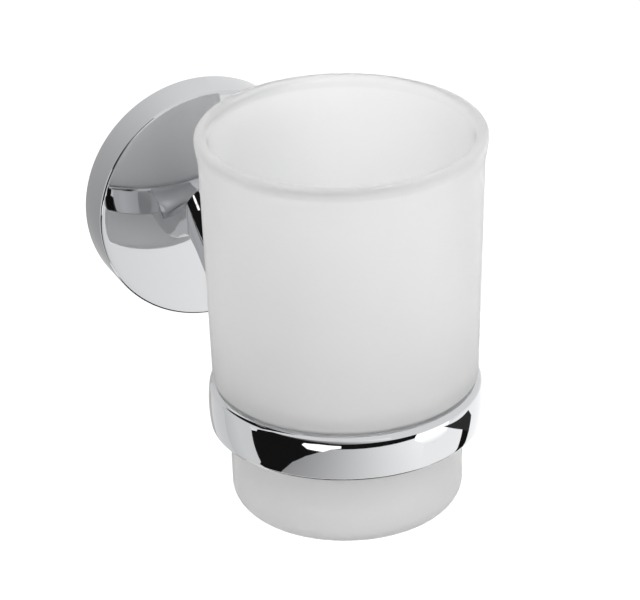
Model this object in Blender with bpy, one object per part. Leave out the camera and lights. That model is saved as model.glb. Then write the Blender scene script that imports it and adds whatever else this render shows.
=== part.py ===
# Wall-mounted tumbler holder: a round domed rose, a curved arm and a ring that carries a frosted tumbler.
# The wall is the plane y = 0, the holder reaches towards -Y and +Z is up.
# The origin is the centre of the bracket's back face, which lies on the wall.

import math

import bmesh
import bpy

MM = 0.001

# Fits and counts
FIT_GAP = 0.3 * MM
OVERRUN = 2.0 * MM
MERGE_DISTANCE = 0.001 * MM
ROUND_STEPS = 64
SMALL_STEPS = 24
SHARP_ANGLE = math.radians(35.0)

# Placing of the ring in front of the rose
RING_REACH = 92.0 * MM
RING_DROP = 15.95 * MM

# Rose cover
ROSE_RADIUS = 30.5 * MM
ROSE_DEPTH = 10.5 * MM
ROSE_DOME = 2.1 * MM
ROSE_WALL = 2.0 * MM
ROSE_EDGE = 0.7 * MM

# Wall bracket, with an edge that narrows towards the wall
BRACKET_MARGIN = 6.0 * MM
BRACKET_UNDERCUT = 2.5 * MM
BRACKET_HEAD_ROOM = 0.9 * MM
BRACKET_CHAMFER = 0.5 * MM
SCREW_SPACING = 24.0 * MM
SLOT_TRAVEL = 3.0 * MM

# Hook at the top of the cover, and the boss for the grub screw at its foot
HOOK_WIDTH = 10.0 * MM
HOOK_THICKNESS = 2.0 * MM
HOOK_SET_BACK = 0.6 * MM
BOSS_WALL = 1.2 * MM
BOSS_SET_BACK = 0.5 * MM
BOSS_CLEARANCE = 2.5 * MM

# Wall screws and plugs
WALL_SCREW_RADIUS = 2.1 * MM
WALL_SCREW_REACH = 25.0 * MM
WALL_SCREW_POINT = 3.0 * MM
WALL_HEAD_RADIUS = 3.8 * MM
WALL_HEAD_HEIGHT = 2.6 * MM
CROSS_WIDTH = 1.0 * MM
CROSS_LENGTH = 4.4 * MM
CROSS_DEPTH = 1.6 * MM
PLUG_WALL = 1.2 * MM
PLUG_LENGTH = 20.5 * MM
PLUG_SET_BACK = 2.5 * MM
PLUG_RIB = 0.35 * MM
PLUG_RIB_PITCH = 3.0 * MM
PLUG_COLLAR = 2.0 * MM
PLUG_SLOT = 0.8 * MM

# Grub screw
GRUB_RADIUS = 2.0 * MM
GRUB_POINT = 1.4 * MM
GRUB_TIP_RADIUS = 0.5 * MM
GRUB_RECESS = 0.5 * MM
GRUB_SOCKET = 1.1 * MM
GRUB_SOCKET_DEPTH = 2.0 * MM

# Arm, with upright flanks and an arched top
ARM_WIDTH = 15.8 * MM
ARM_EDGE = 0.8 * MM
ARM_INSET = 0.1 * MM
ROOT_BELOW = 6.9 * MM
ROOT_FLANK = 9.5 * MM
ROOT_CROWN = 4.2 * MM
END_CROWN = 0.5 * MM
ARM_STATIONS = 17
CROWN_STEPS = 10
EDGE_STEPS = 3

# Shape of the arm's three edges: share of the run from rose to ring, share of the drop
FOOT_SHARES = ((0.0, 0.0), (0.10, 0.14), (0.26, 0.47), (0.56, 0.82), (1.0, 1.0))
FLANK_SHARES = ((0.0, 0.0), (0.10, 0.29), (0.26, 0.64), (0.42, 0.95), (0.58, 1.22), (0.76, 1.02), (1.0, 1.0))
CROWN_SHARES = ((0.0, 0.0), (0.10, 0.22), (0.26, 0.50), (0.42, 0.74), (0.60, 0.98), (0.76, 1.0), (1.0, 1.0))

# Chamfer at the tip of the machine screws
TIP_CHAMFER = 0.6 * MM

# Arm screw, its washer and the locating pin
ARM_SCREW_RADIUS = 2.5 * MM
ARM_SCREW_RISE = 4.1 * MM
ARM_SCREW_ENGAGED = 6.5 * MM
ARM_HEAD_RADIUS = 4.25 * MM
ARM_HEAD_HEIGHT = 3.1 * MM
ARM_SOCKET = 2.0 * MM
ARM_SOCKET_DEPTH = 1.8 * MM
WASHER_THICKNESS = 1.0 * MM
WASHER_BORDER = 2.2 * MM
PIN_RADIUS = 1.0 * MM
PIN_RISE = 4.9 * MM
PIN_IN_COVER = 1.2 * MM
PIN_IN_ARM = 2.2 * MM

# Ring
RING_RADIUS = 32.6 * MM
RING_HEIGHT = 11.3 * MM
RING_WALL = 2.8 * MM
RING_BULGE = 0.5 * MM
RING_TOP_ROUND = 1.7 * MM
RING_FOOT_ROUND = 0.8 * MM
RING_LIP = 0.6 * MM
RING_STEPS = 6
ROUNDING_STEPS = 5
LIP_STEPS = 3

# Ring screw, sunk into the bore of the ring
RING_SCREW_RADIUS = 2.0 * MM
RING_SCREW_LENGTH = 12.0 * MM
RING_HEAD_RADIUS = 3.9 * MM
RING_HEAD_DEPTH = 2.0 * MM
RING_HEAD_SUNK = 0.3 * MM
RING_SOCKET = 1.25 * MM
RING_SOCKET_DEPTH = 1.2 * MM

# Tumbler
RIM_RADIUS = 34.0 * MM
RIM_BEAD = 1.5 * MM
RIM_FLARE = 0.85 * MM
FLARE_LENGTH = 6.5 * MM
BODY_LENGTH = 61.6 * MM
BODY_OVERLAP = 1.7 * MM
BASE_LENGTH = 33.6 * MM
BASE_CLEARANCE = 1.9 * MM
BASE_TAPER = 0.4 * MM
TUMBLER_WALL = 2.8 * MM
SHOULDER_RADIUS = 1.5 * MM
SHOULDER_TURN = math.radians(84.0)
INNER_SHOULDER_ABOVE = 3.5 * MM
INNER_SHOULDER_BELOW = 1.8 * MM
FOOT_RADIUS = 5.0 * MM
FOOT_RISE = 0.8 * MM
FOOT_BAND = 5.0 * MM
FLOOR_THICKNESS = 6.0 * MM
FLOOR_ROUND = 5.0 * MM
BEAD_STEPS = 6
FLARE_STEPS = 3
SHOULDER_STEPS = 4
FOOT_STEPS = 4

# Sizes that follow from the ones above
CAVITY_RADIUS = ROSE_RADIUS - ROSE_WALL
DOME_FRONT = ROSE_DEPTH + ROSE_DOME
DOME_BACK = DOME_FRONT - ROSE_WALL
BRACKET_THICKNESS = (
    DOME_BACK - FIT_GAP - WASHER_THICKNESS - FIT_GAP - ARM_HEAD_HEIGHT - BRACKET_HEAD_ROOM
)
BRACKET_RADIUS = CAVITY_RADIUS - BRACKET_MARGIN
BORE_RADIUS = RING_RADIUS - RING_WALL
ARM_END = RING_REACH - RING_RADIUS
RING_TOP = RING_HEIGHT / 2 - RING_DROP
RING_BOTTOM = -RING_HEIGHT / 2 - RING_DROP
ARM_SCREW_Z = ARM_SCREW_RISE - ROOT_BELOW
PLUG_RADIUS = WALL_SCREW_RADIUS + FIT_GAP + PLUG_WALL
GRUB_OUT = BOSS_SET_BACK + BOSS_WALL + GRUB_RADIUS + FIT_GAP


def clear_scene():
    for item in list(bpy.data.objects):
        bpy.data.objects.remove(item, do_unlink=True)


def make_material(name, colour, roughness, metallic):
    material = bpy.data.materials.new(name)
    material.use_nodes = True
    shader = material.node_tree.nodes["Principled BSDF"]
    shader.inputs["Base Color"].default_value = (*colour, 1.0)
    shader.inputs["Roughness"].default_value = roughness
    shader.inputs["Metallic"].default_value = metallic
    material.diffuse_color = (*colour, 1.0)
    return material


def arc(centre_r, centre_h, radius, start, end, steps):
    """Points of an arc in a turned profile. Angles are measured from the radial direction."""
    points = []
    for i in range(steps + 1):
        angle = start + (end - start) * i / steps
        points.append((centre_r + radius * math.cos(angle), centre_h + radius * math.sin(angle)))
    return points


def finish_mesh(name, bm, material, parent=None):
    """Turn a bmesh into a smooth-shaded object whose faces point outwards."""
    bmesh.ops.remove_doubles(bm, verts=bm.verts, dist=MERGE_DISTANCE)
    bmesh.ops.recalc_face_normals(bm, faces=bm.faces)
    mesh = bpy.data.meshes.new(name)
    bm.to_mesh(mesh)
    bm.free()
    mesh.materials.append(material)
    mesh.shade_smooth()
    mesh.set_sharp_from_angle(angle=SHARP_ANGLE)
    item = bpy.data.objects.new(name, mesh)
    bpy.context.scene.collection.objects.link(item)
    item.parent = parent
    return item


def turned(name, profile, material, steps=ROUND_STEPS, parent=None):
    """Spin an outline of (radius, height) points about the local Z axis into a closed solid."""
    bm = bmesh.new()
    corners = [bm.verts.new((radius, 0.0, height)) for radius, height in profile]
    edges = [bm.edges.new(pair) for pair in zip(corners, corners[1:])]
    if profile[0][0] > 0.0 or profile[-1][0] > 0.0:
        edges.append(bm.edges.new((corners[-1], corners[0])))
    bmesh.ops.spin(
        bm,
        geom=corners + edges,
        cent=(0.0, 0.0, 0.0),
        axis=(0.0, 0.0, 1.0),
        angle=2 * math.pi,
        steps=steps,
        use_merge=True,
    )
    return finish_mesh(name, bm, material, parent)


def prism(name, outline, low, high, material, parent=None):
    """Extrude an outline of (x, y) points along the local Z axis."""
    bm = bmesh.new()
    corners = [bm.verts.new((x, y, low)) for x, y in outline]
    face = bm.faces.new(corners)
    extruded = bmesh.ops.extrude_face_region(bm, geom=[face])["geom"]
    lifted = [item for item in extruded if isinstance(item, bmesh.types.BMVert)]
    bmesh.ops.translate(bm, verts=lifted, vec=(0.0, 0.0, high - low))
    return finish_mesh(name, bm, material, parent)


def regular(sides, radius, centre=(0.0, 0.0)):
    return [
        (
            centre[0] + radius * math.cos(2 * math.pi * i / sides),
            centre[1] + radius * math.sin(2 * math.pi * i / sides),
        )
        for i in range(sides)
    ]


def rectangle(width, height, centre=(0.0, 0.0)):
    x, y = width / 2, height / 2
    cx, cy = centre
    return [(cx - x, cy - y), (cx + x, cy - y), (cx + x, cy + y), (cx - x, cy + y)]


def add_boolean(target, other, operation):
    """Cut or join a helper solid, which stays in the file as a wire guide."""
    other.display_type = "WIRE"
    other.hide_render = True
    modifier = target.modifiers.new(other.name, "BOOLEAN")
    modifier.operation = operation
    modifier.solver = "EXACT"
    modifier.object = other


def cut(target, *cutters):
    for cutter in cutters:
        add_boolean(target, cutter, "DIFFERENCE")


def join(target, *pieces):
    for piece in pieces:
        add_boolean(target, piece, "UNION")


def place(item, x=0.0, y=0.0, z=0.0, turn=(0.0, 0.0, 0.0)):
    item.location = (x, y, z)
    item.rotation_euler = turn
    return item


# Turns that point local Z out from the wall or into it
OUTWARD = (math.pi / 2, 0.0, 0.0)
INWARD = (-math.pi / 2, 0.0, 0.0)


def dome_shape():
    """Centre and radius of the sphere that is tangent to the cover's rounded edge."""
    edge_r = ROSE_RADIUS - ROSE_EDGE
    edge_h = ROSE_DEPTH - ROSE_EDGE
    below = (edge_r**2 - ROSE_DOME**2) / (2 * ROSE_DOME)
    centre_h = edge_h - below
    radius = ROSE_EDGE + below + ROSE_DOME
    return centre_h, radius, math.atan2(edge_r, below)


def dome_points(radius, centre_h, tilt, steps):
    """Points on the dome from the tilt given down to the axis."""
    return arc(0.0, centre_h, radius, math.pi / 2 - tilt, math.pi / 2, steps)[:-1] + [
        (0.0, centre_h + radius)
    ]


def make_rose_cover(chrome, guide):
    """Cast cover: a shallow cup with a domed front, a hook at the top and a threaded boss at its foot."""
    centre_h, radius, tilt = dome_shape()
    inner_radius = radius - ROSE_WALL
    inner_tilt = math.asin(CAVITY_RADIUS / inner_radius)
    profile = dome_points(inner_radius, centre_h, inner_tilt, 4)[::-1]
    profile += [(CAVITY_RADIUS, 0.0), (ROSE_RADIUS, 0.0)]
    edge_turn = math.pi / 2 - tilt
    profile += arc(ROSE_RADIUS - ROSE_EDGE, ROSE_DEPTH - ROSE_EDGE, ROSE_EDGE, 0.0, edge_turn, 3)
    profile += dome_points(radius, centre_h, tilt, 6)[1:]
    cover = turned("rose_cover", profile, chrome)
    place(cover, turn=OUTWARD)

    hook_in = BRACKET_RADIUS - BRACKET_UNDERCUT
    hook_out = CAVITY_RADIUS + ROSE_WALL / 2
    hook_mid = HOOK_SET_BACK + HOOK_THICKNESS / 2
    hook = prism(
        "guide_hook", rectangle(HOOK_WIDTH, HOOK_THICKNESS, (0.0, -hook_mid)), hook_in, hook_out, guide
    )
    boss_in = BRACKET_RADIUS + BOSS_CLEARANCE
    boss_radius = GRUB_RADIUS + FIT_GAP + BOSS_WALL
    boss = prism(
        "guide_boss", regular(SMALL_STEPS, boss_radius, (0.0, -GRUB_OUT)), -hook_out, -boss_in, guide
    )
    join(cover, hook, boss)

    grub_hole = prism(
        "guide_grub_hole",
        regular(SMALL_STEPS, GRUB_RADIUS + FIT_GAP, (0.0, -GRUB_OUT)),
        -ROSE_RADIUS - OVERRUN,
        -boss_in + OVERRUN,
        guide,
    )
    screw_hole = turned(
        "guide_cover_screw_hole",
        cylinder_profile(ARM_SCREW_RADIUS + FIT_GAP, DOME_BACK - OVERRUN, DOME_FRONT + OVERRUN),
        guide,
        SMALL_STEPS,
    )
    place(screw_hole, z=ARM_SCREW_Z, turn=OUTWARD)
    pin_hole = turned(
        "guide_cover_pin_hole",
        cylinder_profile(
            PIN_RADIUS + FIT_GAP, DOME_FRONT - PIN_IN_COVER - FIT_GAP, DOME_FRONT + OVERRUN
        ),
        guide,
        SMALL_STEPS,
    )
    place(pin_hole, z=ARM_SCREW_Z + PIN_RISE, turn=OUTWARD)
    bracket_room = turned("guide_bracket_room", bracket_profile(FIT_GAP), guide)
    place(bracket_room, turn=OUTWARD)
    cut(cover, grub_hole, screw_hole, pin_hole, bracket_room)
    return cover


def cylinder_profile(radius, low, high):
    return [(0.0, low), (radius, low), (radius, high), (0.0, high)]


def bracket_profile(grow):
    """Outline of the bracket, which is wider in front than at the wall."""
    back_radius = BRACKET_RADIUS - BRACKET_UNDERCUT + grow
    front_radius = BRACKET_RADIUS + grow
    front = BRACKET_THICKNESS + grow
    return [
        (0.0, -grow),
        (back_radius, -grow),
        (front_radius, front - BRACKET_CHAMFER),
        (front_radius - BRACKET_CHAMFER, front),
        (0.0, front),
    ]


def make_wall_bracket(zinc, guide):
    """Turned disc with an undercut edge, a round hole above and a slot below."""
    bracket = turned("wall_bracket", bracket_profile(0.0), zinc)
    place(bracket, turn=OUTWARD)
    hole_radius = WALL_SCREW_RADIUS + FIT_GAP
    low, high = -OVERRUN, BRACKET_THICKNESS + OVERRUN
    round_hole = prism("guide_round_hole", regular(SMALL_STEPS, hole_radius), low, high, guide)
    place(round_hole, z=SCREW_SPACING / 2, turn=OUTWARD)
    half_turn = SMALL_STEPS // 2
    slot_outline = []
    for side in (1, -1):
        for i in range(half_turn + 1):
            angle = math.pi * i / half_turn - side * math.pi / 2
            slot_outline.append(
                (side * SLOT_TRAVEL / 2 + hole_radius * math.cos(angle), hole_radius * math.sin(angle))
            )
    slot = prism("guide_slot", slot_outline, low, high, guide)
    place(slot, z=-SCREW_SPACING / 2, turn=OUTWARD)
    cut(bracket, round_hole, slot)
    return bracket


def make_wall_screw(name, height, steel, guide):
    """Pan-head wood screw, from its head inside the cover to its point in the plug."""
    seat = BRACKET_THICKNESS + FIT_GAP
    head_round = WALL_HEAD_HEIGHT / 2
    profile = [
        (0.0, -WALL_SCREW_REACH),
        (WALL_SCREW_RADIUS, WALL_SCREW_POINT - WALL_SCREW_REACH),
        (WALL_SCREW_RADIUS, seat),
        (WALL_HEAD_RADIUS, seat),
    ]
    profile += arc(
        WALL_HEAD_RADIUS - head_round, seat + head_round, head_round, 0.0, math.pi / 2, 3
    )
    profile.append((0.0, seat + WALL_HEAD_HEIGHT))
    screw = turned(name, profile, steel, SMALL_STEPS)
    place(screw, z=height, turn=OUTWARD)
    top = seat + WALL_HEAD_HEIGHT
    for i, (width, length) in enumerate(((CROSS_WIDTH, CROSS_LENGTH), (CROSS_LENGTH, CROSS_WIDTH))):
        groove = prism(
            f"guide_{name}_groove_{i + 1}",
            rectangle(width, length),
            top - CROSS_DEPTH,
            top + OVERRUN,
            guide,
        )
        place(groove, z=height, turn=OUTWARD)
        cut(screw, groove)
    return screw


def make_wall_plug(name, height, nylon, guide):
    """Nylon plug set below the face of the wall, ribbed outside and slit from its far end."""
    bore = WALL_SCREW_RADIUS + FIT_GAP
    outline = [(bore, 0.0), (PLUG_RADIUS, 0.0), (PLUG_RADIUS, PLUG_COLLAR)]
    ribs = int((PLUG_LENGTH - PLUG_COLLAR) / PLUG_RIB_PITCH)
    for i in range(ribs):
        start = PLUG_COLLAR + i * PLUG_RIB_PITCH
        outline.append((PLUG_RADIUS - PLUG_RIB, start + PLUG_RIB))
        outline.append((PLUG_RADIUS, start + PLUG_RIB_PITCH))
    outline += [(PLUG_RADIUS - PLUG_RIB, PLUG_LENGTH), (bore, PLUG_LENGTH)]
    plug = turned(name, outline, nylon, SMALL_STEPS)
    place(plug, y=PLUG_SET_BACK, z=height, turn=INWARD)
    slit = prism(
        f"guide_{name}_slit",
        rectangle(PLUG_SLOT, 2 * PLUG_RADIUS + 2 * OVERRUN),
        2 * PLUG_COLLAR,
        PLUG_LENGTH + OVERRUN,
        guide,
    )
    place(slit, y=PLUG_SET_BACK, z=height, turn=INWARD)
    cut(plug, slit)
    return plug


def make_grub_screw(steel, guide):
    """Socket grub screw whose cone bears on the bracket's undercut edge."""
    out = GRUB_OUT
    tip = -BRACKET_RADIUS - FIT_GAP
    end = GRUB_RECESS - ROSE_RADIUS
    profile = [
        (0.0, end),
        (GRUB_RADIUS, end),
        (GRUB_RADIUS, tip - GRUB_POINT),
        (GRUB_TIP_RADIUS, tip),
        (0.0, tip),
    ]
    grub = turned("grub_screw", profile, steel, SMALL_STEPS)
    place(grub, y=-out)
    socket = prism(
        "guide_grub_socket", regular(6, GRUB_SOCKET), end - OVERRUN, end + GRUB_SOCKET_DEPTH, guide
    )
    place(socket, y=-out)
    cut(grub, socket)
    return grub


def along(shares, run):
    """Smooth curve through a table of shares, read at a share of the run."""
    run = min(max(run, shares[0][0]), shares[-1][0])
    slopes = []
    for i in range(len(shares)):
        before = shares[max(i - 1, 0)]
        after = shares[min(i + 1, len(shares) - 1)]
        slopes.append((after[1] - before[1]) / (after[0] - before[0]))
    for i in range(len(shares) - 1):
        (start, low), (end, high) = shares[i], shares[i + 1]
        if run <= end:
            break
    span = end - start
    t = (run - start) / span
    return (
        low * (2 * t**3 - 3 * t**2 + 1)
        + high * (3 * t**2 - 2 * t**3)
        + span * slopes[i] * (t**3 - 2 * t**2 + t)
        + span * slopes[i + 1] * (t**3 - t**2)
    )


def arm_section(out):
    """Height of the foot, the flank's top and the crown's top at a distance from the wall."""
    run = (out - DOME_FRONT) / (ARM_END - DOME_FRONT)
    root_flank = ROOT_FLANK - ROOT_BELOW
    root_crown = root_flank + ROOT_CROWN
    end_foot = RING_BOTTOM + ARM_INSET
    end_crown = RING_TOP - ARM_INSET
    end_flank = end_crown - END_CROWN
    foot = -ROOT_BELOW + (end_foot + ROOT_BELOW) * along(FOOT_SHARES, run)
    flank = root_flank + (end_flank - root_flank) * along(FLANK_SHARES, run)
    crown = root_crown + (end_crown - root_crown) * along(CROWN_SHARES, run)
    return foot, flank, crown


def arm_outline(out):
    """Cross-section of the arm: flat below with soft corners, upright flanks and an arched top."""
    bottom, flank, crown = arm_section(out)
    rise = crown - flank
    half = ARM_WIDTH / 2
    crown_radius = (half**2 + rise**2) / (2 * rise)
    crown_turn = math.asin(half / crown_radius)
    points = []
    for i in range(EDGE_STEPS + 1):
        angle = math.pi / 2 * i / EDGE_STEPS
        points.append(
            (half - ARM_EDGE + ARM_EDGE * math.sin(angle), bottom + ARM_EDGE - ARM_EDGE * math.cos(angle))
        )
    for i in range(CROWN_STEPS + 1):
        angle = crown_turn * (1.0 - 2.0 * i / CROWN_STEPS)
        points.append((crown_radius * math.sin(angle), crown - crown_radius * (1.0 - math.cos(angle))))
    for i in range(EDGE_STEPS + 1):
        angle = math.pi / 2 * (1.0 - i / EDGE_STEPS)
        points.append(
            (-half + ARM_EDGE - ARM_EDGE * math.sin(angle), bottom + ARM_EDGE - ARM_EDGE * math.cos(angle))
        )
    return points


def ring_face(grow):
    """Outer side of the ring from its foot to its top, or that of a larger solid that clears it."""
    half = RING_HEIGHT / 2
    bulge_radius = (half**2 + RING_BULGE**2) / (2 * RING_BULGE)
    centre_r = RING_RADIUS - bulge_radius
    ends = []
    for rounding in (RING_FOOT_ROUND, RING_TOP_ROUND):
        rise = half - rounding
        run = math.sqrt((bulge_radius - rounding) ** 2 - rise**2)
        ends.append((centre_r + run, rise, math.atan2(rise, run)))
    (foot_r, foot_h, foot_turn), (top_r, top_h, top_turn) = ends
    quarter = math.pi / 2
    points = arc(foot_r, -foot_h, RING_FOOT_ROUND + grow, -quarter, -foot_turn, ROUNDING_STEPS)
    points += arc(centre_r, 0.0, bulge_radius + grow, -foot_turn, top_turn, RING_STEPS)[1:-1]
    points += arc(top_r, top_h, RING_TOP_ROUND + grow, top_turn, quarter, ROUNDING_STEPS)
    return points


def ring_outline():
    """Closed outline of the ring's section about its middle height."""
    lip_r = BORE_RADIUS + RING_LIP
    lip_h = RING_HEIGHT / 2 - RING_LIP
    points = ring_face(0.0)
    points += arc(lip_r, lip_h, RING_LIP, math.pi / 2, math.pi, LIP_STEPS)
    points += arc(lip_r, -lip_h, RING_LIP, math.pi, 1.5 * math.pi, LIP_STEPS)
    return points


def make_arm(chrome, guide):
    """Swept arm, cut to the dome of the rose at one end and to the ring at the other."""
    bm = bmesh.new()
    start = ROSE_DEPTH
    end = ARM_END + OVERRUN
    sections = []
    for i in range(ARM_STATIONS):
        out = start + (end - start) * i / (ARM_STATIONS - 1)
        sections.append([bm.verts.new((x, -out, z)) for x, z in arm_outline(out)])
    for near, far in zip(sections, sections[1:]):
        for i in range(len(near)):
            following = (i + 1) % len(near)
            bm.faces.new((near[i], near[following], far[following], far[i]))
    bm.faces.new(sections[0])
    bm.faces.new(sections[-1][::-1])
    arm = finish_mesh("arm", bm, chrome)

    centre_h, radius, tilt = dome_shape()
    dome = [(0.0, 0.0), (ROSE_RADIUS, 0.0)]
    dome += dome_points(radius + FIT_GAP, centre_h, tilt, 6)
    dome_room = turned("guide_dome_room", dome, guide)
    place(dome_room, turn=OUTWARD)

    over = RING_HEIGHT / 2 + FIT_GAP
    ring_room = turned("guide_ring_room", [(0.0, -over)] + ring_face(FIT_GAP) + [(0.0, over)], guide)
    place(ring_room, y=-RING_REACH, z=-RING_DROP)

    depth = DOME_FRONT + FIT_GAP + ARM_SCREW_ENGAGED + FIT_GAP
    screw_hole = turned(
        "guide_arm_screw_hole",
        cylinder_profile(ARM_SCREW_RADIUS + FIT_GAP, DOME_BACK, depth),
        guide,
        SMALL_STEPS,
    )
    place(screw_hole, z=ARM_SCREW_Z, turn=OUTWARD)
    pin_hole = turned(
        "guide_arm_pin_hole",
        cylinder_profile(PIN_RADIUS + FIT_GAP, DOME_BACK, DOME_FRONT + 2 * FIT_GAP + PIN_IN_ARM),
        guide,
        SMALL_STEPS,
    )
    place(pin_hole, z=ARM_SCREW_Z + PIN_RISE, turn=OUTWARD)
    tip = ring_screw_face() - RING_SCREW_LENGTH - FIT_GAP
    ring_hole = turned(
        "guide_arm_ring_hole",
        cylinder_profile(RING_SCREW_RADIUS + FIT_GAP, tip, RING_REACH - BORE_RADIUS),
        guide,
        SMALL_STEPS,
    )
    place(ring_hole, z=-RING_DROP, turn=OUTWARD)
    cut(arm, dome_room, ring_room, screw_hole, pin_hole, ring_hole)
    return arm


def make_arm_screw(steel, guide):
    """Socket cap screw that pulls the arm's root against the cover from inside."""
    head_front = DOME_BACK - FIT_GAP - WASHER_THICKNESS - FIT_GAP
    head_back = head_front - ARM_HEAD_HEIGHT
    tip = DOME_FRONT + FIT_GAP + ARM_SCREW_ENGAGED
    profile = [
        (0.0, head_back),
        (ARM_HEAD_RADIUS, head_back),
        (ARM_HEAD_RADIUS, head_front),
        (ARM_SCREW_RADIUS, head_front),
        (ARM_SCREW_RADIUS, tip - TIP_CHAMFER),
        (ARM_SCREW_RADIUS - TIP_CHAMFER, tip),
        (0.0, tip),
    ]
    screw = turned("arm_screw", profile, steel, SMALL_STEPS)
    place(screw, z=ARM_SCREW_Z, turn=OUTWARD)
    socket = prism(
        "guide_arm_screw_socket",
        regular(6, ARM_SOCKET),
        head_back - OVERRUN,
        head_back + ARM_SOCKET_DEPTH,
        guide,
    )
    place(socket, z=ARM_SCREW_Z, turn=OUTWARD)
    cut(screw, socket)
    return screw


def make_arm_washer(steel):
    front = DOME_BACK - FIT_GAP
    back = front - WASHER_THICKNESS
    hole = ARM_SCREW_RADIUS + FIT_GAP
    outline = [(hole, back), (hole + WASHER_BORDER, back), (hole + WASHER_BORDER, front), (hole, front)]
    washer = turned("arm_washer", outline, steel, SMALL_STEPS)
    return place(washer, z=ARM_SCREW_Z, turn=OUTWARD)


def make_locating_pin(steel):
    """Plain pin, half in the cover and half in the arm, that keeps the arm from turning."""
    low = DOME_FRONT - PIN_IN_COVER
    high = DOME_FRONT + FIT_GAP + PIN_IN_ARM
    pin = turned("locating_pin", cylinder_profile(PIN_RADIUS, low, high), steel, SMALL_STEPS)
    return place(pin, z=ARM_SCREW_Z + PIN_RISE, turn=OUTWARD)


def ring_screw_face():
    """Distance from the wall to the face of the sunk screw head in the ring's bore."""
    return RING_REACH - BORE_RADIUS - RING_HEAD_SUNK


def make_ring(chrome, guide):
    """Turned ring with a bulging outer face, rounded lips and a countersunk hole towards the arm."""
    ring = turned("ring", ring_outline(), chrome)
    place(ring, y=-RING_REACH, z=-RING_DROP)
    face = ring_screw_face()
    head = RING_HEAD_RADIUS + FIT_GAP
    shank = RING_SCREW_RADIUS + FIT_GAP
    hole = turned(
        "guide_countersink",
        [
            (0.0, RING_REACH - RING_RADIUS - OVERRUN),
            (shank, RING_REACH - RING_RADIUS - OVERRUN),
            (shank, face - RING_HEAD_DEPTH),
            (head, face),
            (head, RING_REACH - BORE_RADIUS + OVERRUN),
            (0.0, RING_REACH - BORE_RADIUS + OVERRUN),
        ],
        guide,
        SMALL_STEPS,
    )
    place(hole, z=-RING_DROP, turn=OUTWARD)
    cut(ring, hole)
    return ring


def make_ring_screw(steel, guide):
    """Countersunk socket screw from inside the ring into the end of the arm."""
    face = ring_screw_face()
    tip = face - RING_SCREW_LENGTH
    profile = [
        (0.0, tip),
        (RING_SCREW_RADIUS - TIP_CHAMFER, tip),
        (RING_SCREW_RADIUS, tip + TIP_CHAMFER),
        (RING_SCREW_RADIUS, face - RING_HEAD_DEPTH),
        (RING_HEAD_RADIUS, face),
        (0.0, face),
    ]
    screw = turned("ring_screw", profile, steel, SMALL_STEPS)
    place(screw, z=-RING_DROP, turn=OUTWARD)
    socket = prism(
        "guide_ring_screw_socket",
        regular(6, RING_SOCKET),
        face - RING_SOCKET_DEPTH,
        face + OVERRUN,
        guide,
    )
    place(socket, z=-RING_DROP, turn=OUTWARD)
    cut(screw, socket)
    return screw


def seat_height():
    """Height above the ring's middle at which the tumbler's shoulder rests on the ring's lip."""
    lip_r = BORE_RADIUS + RING_LIP
    lip_h = RING_HEIGHT / 2 - RING_LIP
    shoulder_r = BORE_RADIUS + BODY_OVERLAP - SHOULDER_RADIUS
    reach = SHOULDER_RADIUS + RING_LIP + FIT_GAP
    return lip_h + math.sqrt(reach**2 - (lip_r - shoulder_r) ** 2)


def tumbler_outline():
    """Outline of the tumbler about its shoulder, from the underside round the rim to the floor."""
    body = BORE_RADIUS + BODY_OVERLAP
    base = BORE_RADIUS - BASE_CLEARANCE
    step = SHOULDER_RADIUS * (1.0 - math.cos(SHOULDER_TURN))
    hollow = (body - base - step) / (1.0 - math.cos(SHOULDER_TURN))
    base_h = -(SHOULDER_RADIUS + hollow) * math.sin(SHOULDER_TURN)
    foot_r = base - BASE_TAPER - FOOT_RADIUS
    foot_h = FOOT_RADIUS - BASE_LENGTH
    quarter = math.pi / 2

    points = [(0.0, FOOT_RISE - BASE_LENGTH), (foot_r - FOOT_BAND, FOOT_RISE - BASE_LENGTH)]
    points += arc(foot_r, foot_h, FOOT_RADIUS, -quarter, 0.0, FOOT_STEPS)
    points += arc(base + hollow, base_h, hollow, math.pi, math.pi - SHOULDER_TURN, SHOULDER_STEPS)
    shoulder_r = body - SHOULDER_RADIUS
    points += arc(shoulder_r, 0.0, SHOULDER_RADIUS, -SHOULDER_TURN, 0.0, SHOULDER_STEPS)[1:]
    neck = RIM_RADIUS - RIM_FLARE
    bead_h = BODY_LENGTH - RIM_BEAD
    for i in range(FLARE_STEPS):
        share = i / FLARE_STEPS
        flare = RIM_FLARE * share**2 * (3.0 - 2.0 * share)
        points.append((neck + flare, bead_h - FLARE_LENGTH * (1.0 - share)))
    points += arc(RIM_RADIUS - RIM_BEAD, bead_h, RIM_BEAD, 0.0, math.pi, BEAD_STEPS)

    wide = body - TUMBLER_WALL
    narrow = base - TUMBLER_WALL
    high, low = INNER_SHOULDER_ABOVE, base_h - INNER_SHOULDER_BELOW
    points.append((neck - TUMBLER_WALL, bead_h - FLARE_LENGTH))
    for i in range(2 * SHOULDER_STEPS + 1):
        share = i / (2 * SHOULDER_STEPS)
        ease = share**2 * (3.0 - 2.0 * share)
        points.append((wide + (narrow - wide) * ease, high + (low - high) * share))
    floor_r = foot_r + FOOT_RADIUS - TUMBLER_WALL
    floor_h = FLOOR_THICKNESS - BASE_LENGTH
    points += arc(floor_r - FLOOR_ROUND, floor_h + FLOOR_ROUND, FLOOR_ROUND, 0.0, -quarter, FOOT_STEPS)
    points.append((0.0, floor_h))
    return points


def make_tumbler(glass):
    """Pressed glass tumbler with a satin surface, which lifts straight up out of the ring."""
    height = seat_height() - RING_DROP
    carrier = bpy.data.objects.new("tumbler_lift_axis", None)
    bpy.context.scene.collection.objects.link(carrier)
    carrier.location = (0.0, -RING_REACH, height)
    return turned("tumbler", tumbler_outline(), glass, parent=carrier)


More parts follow.
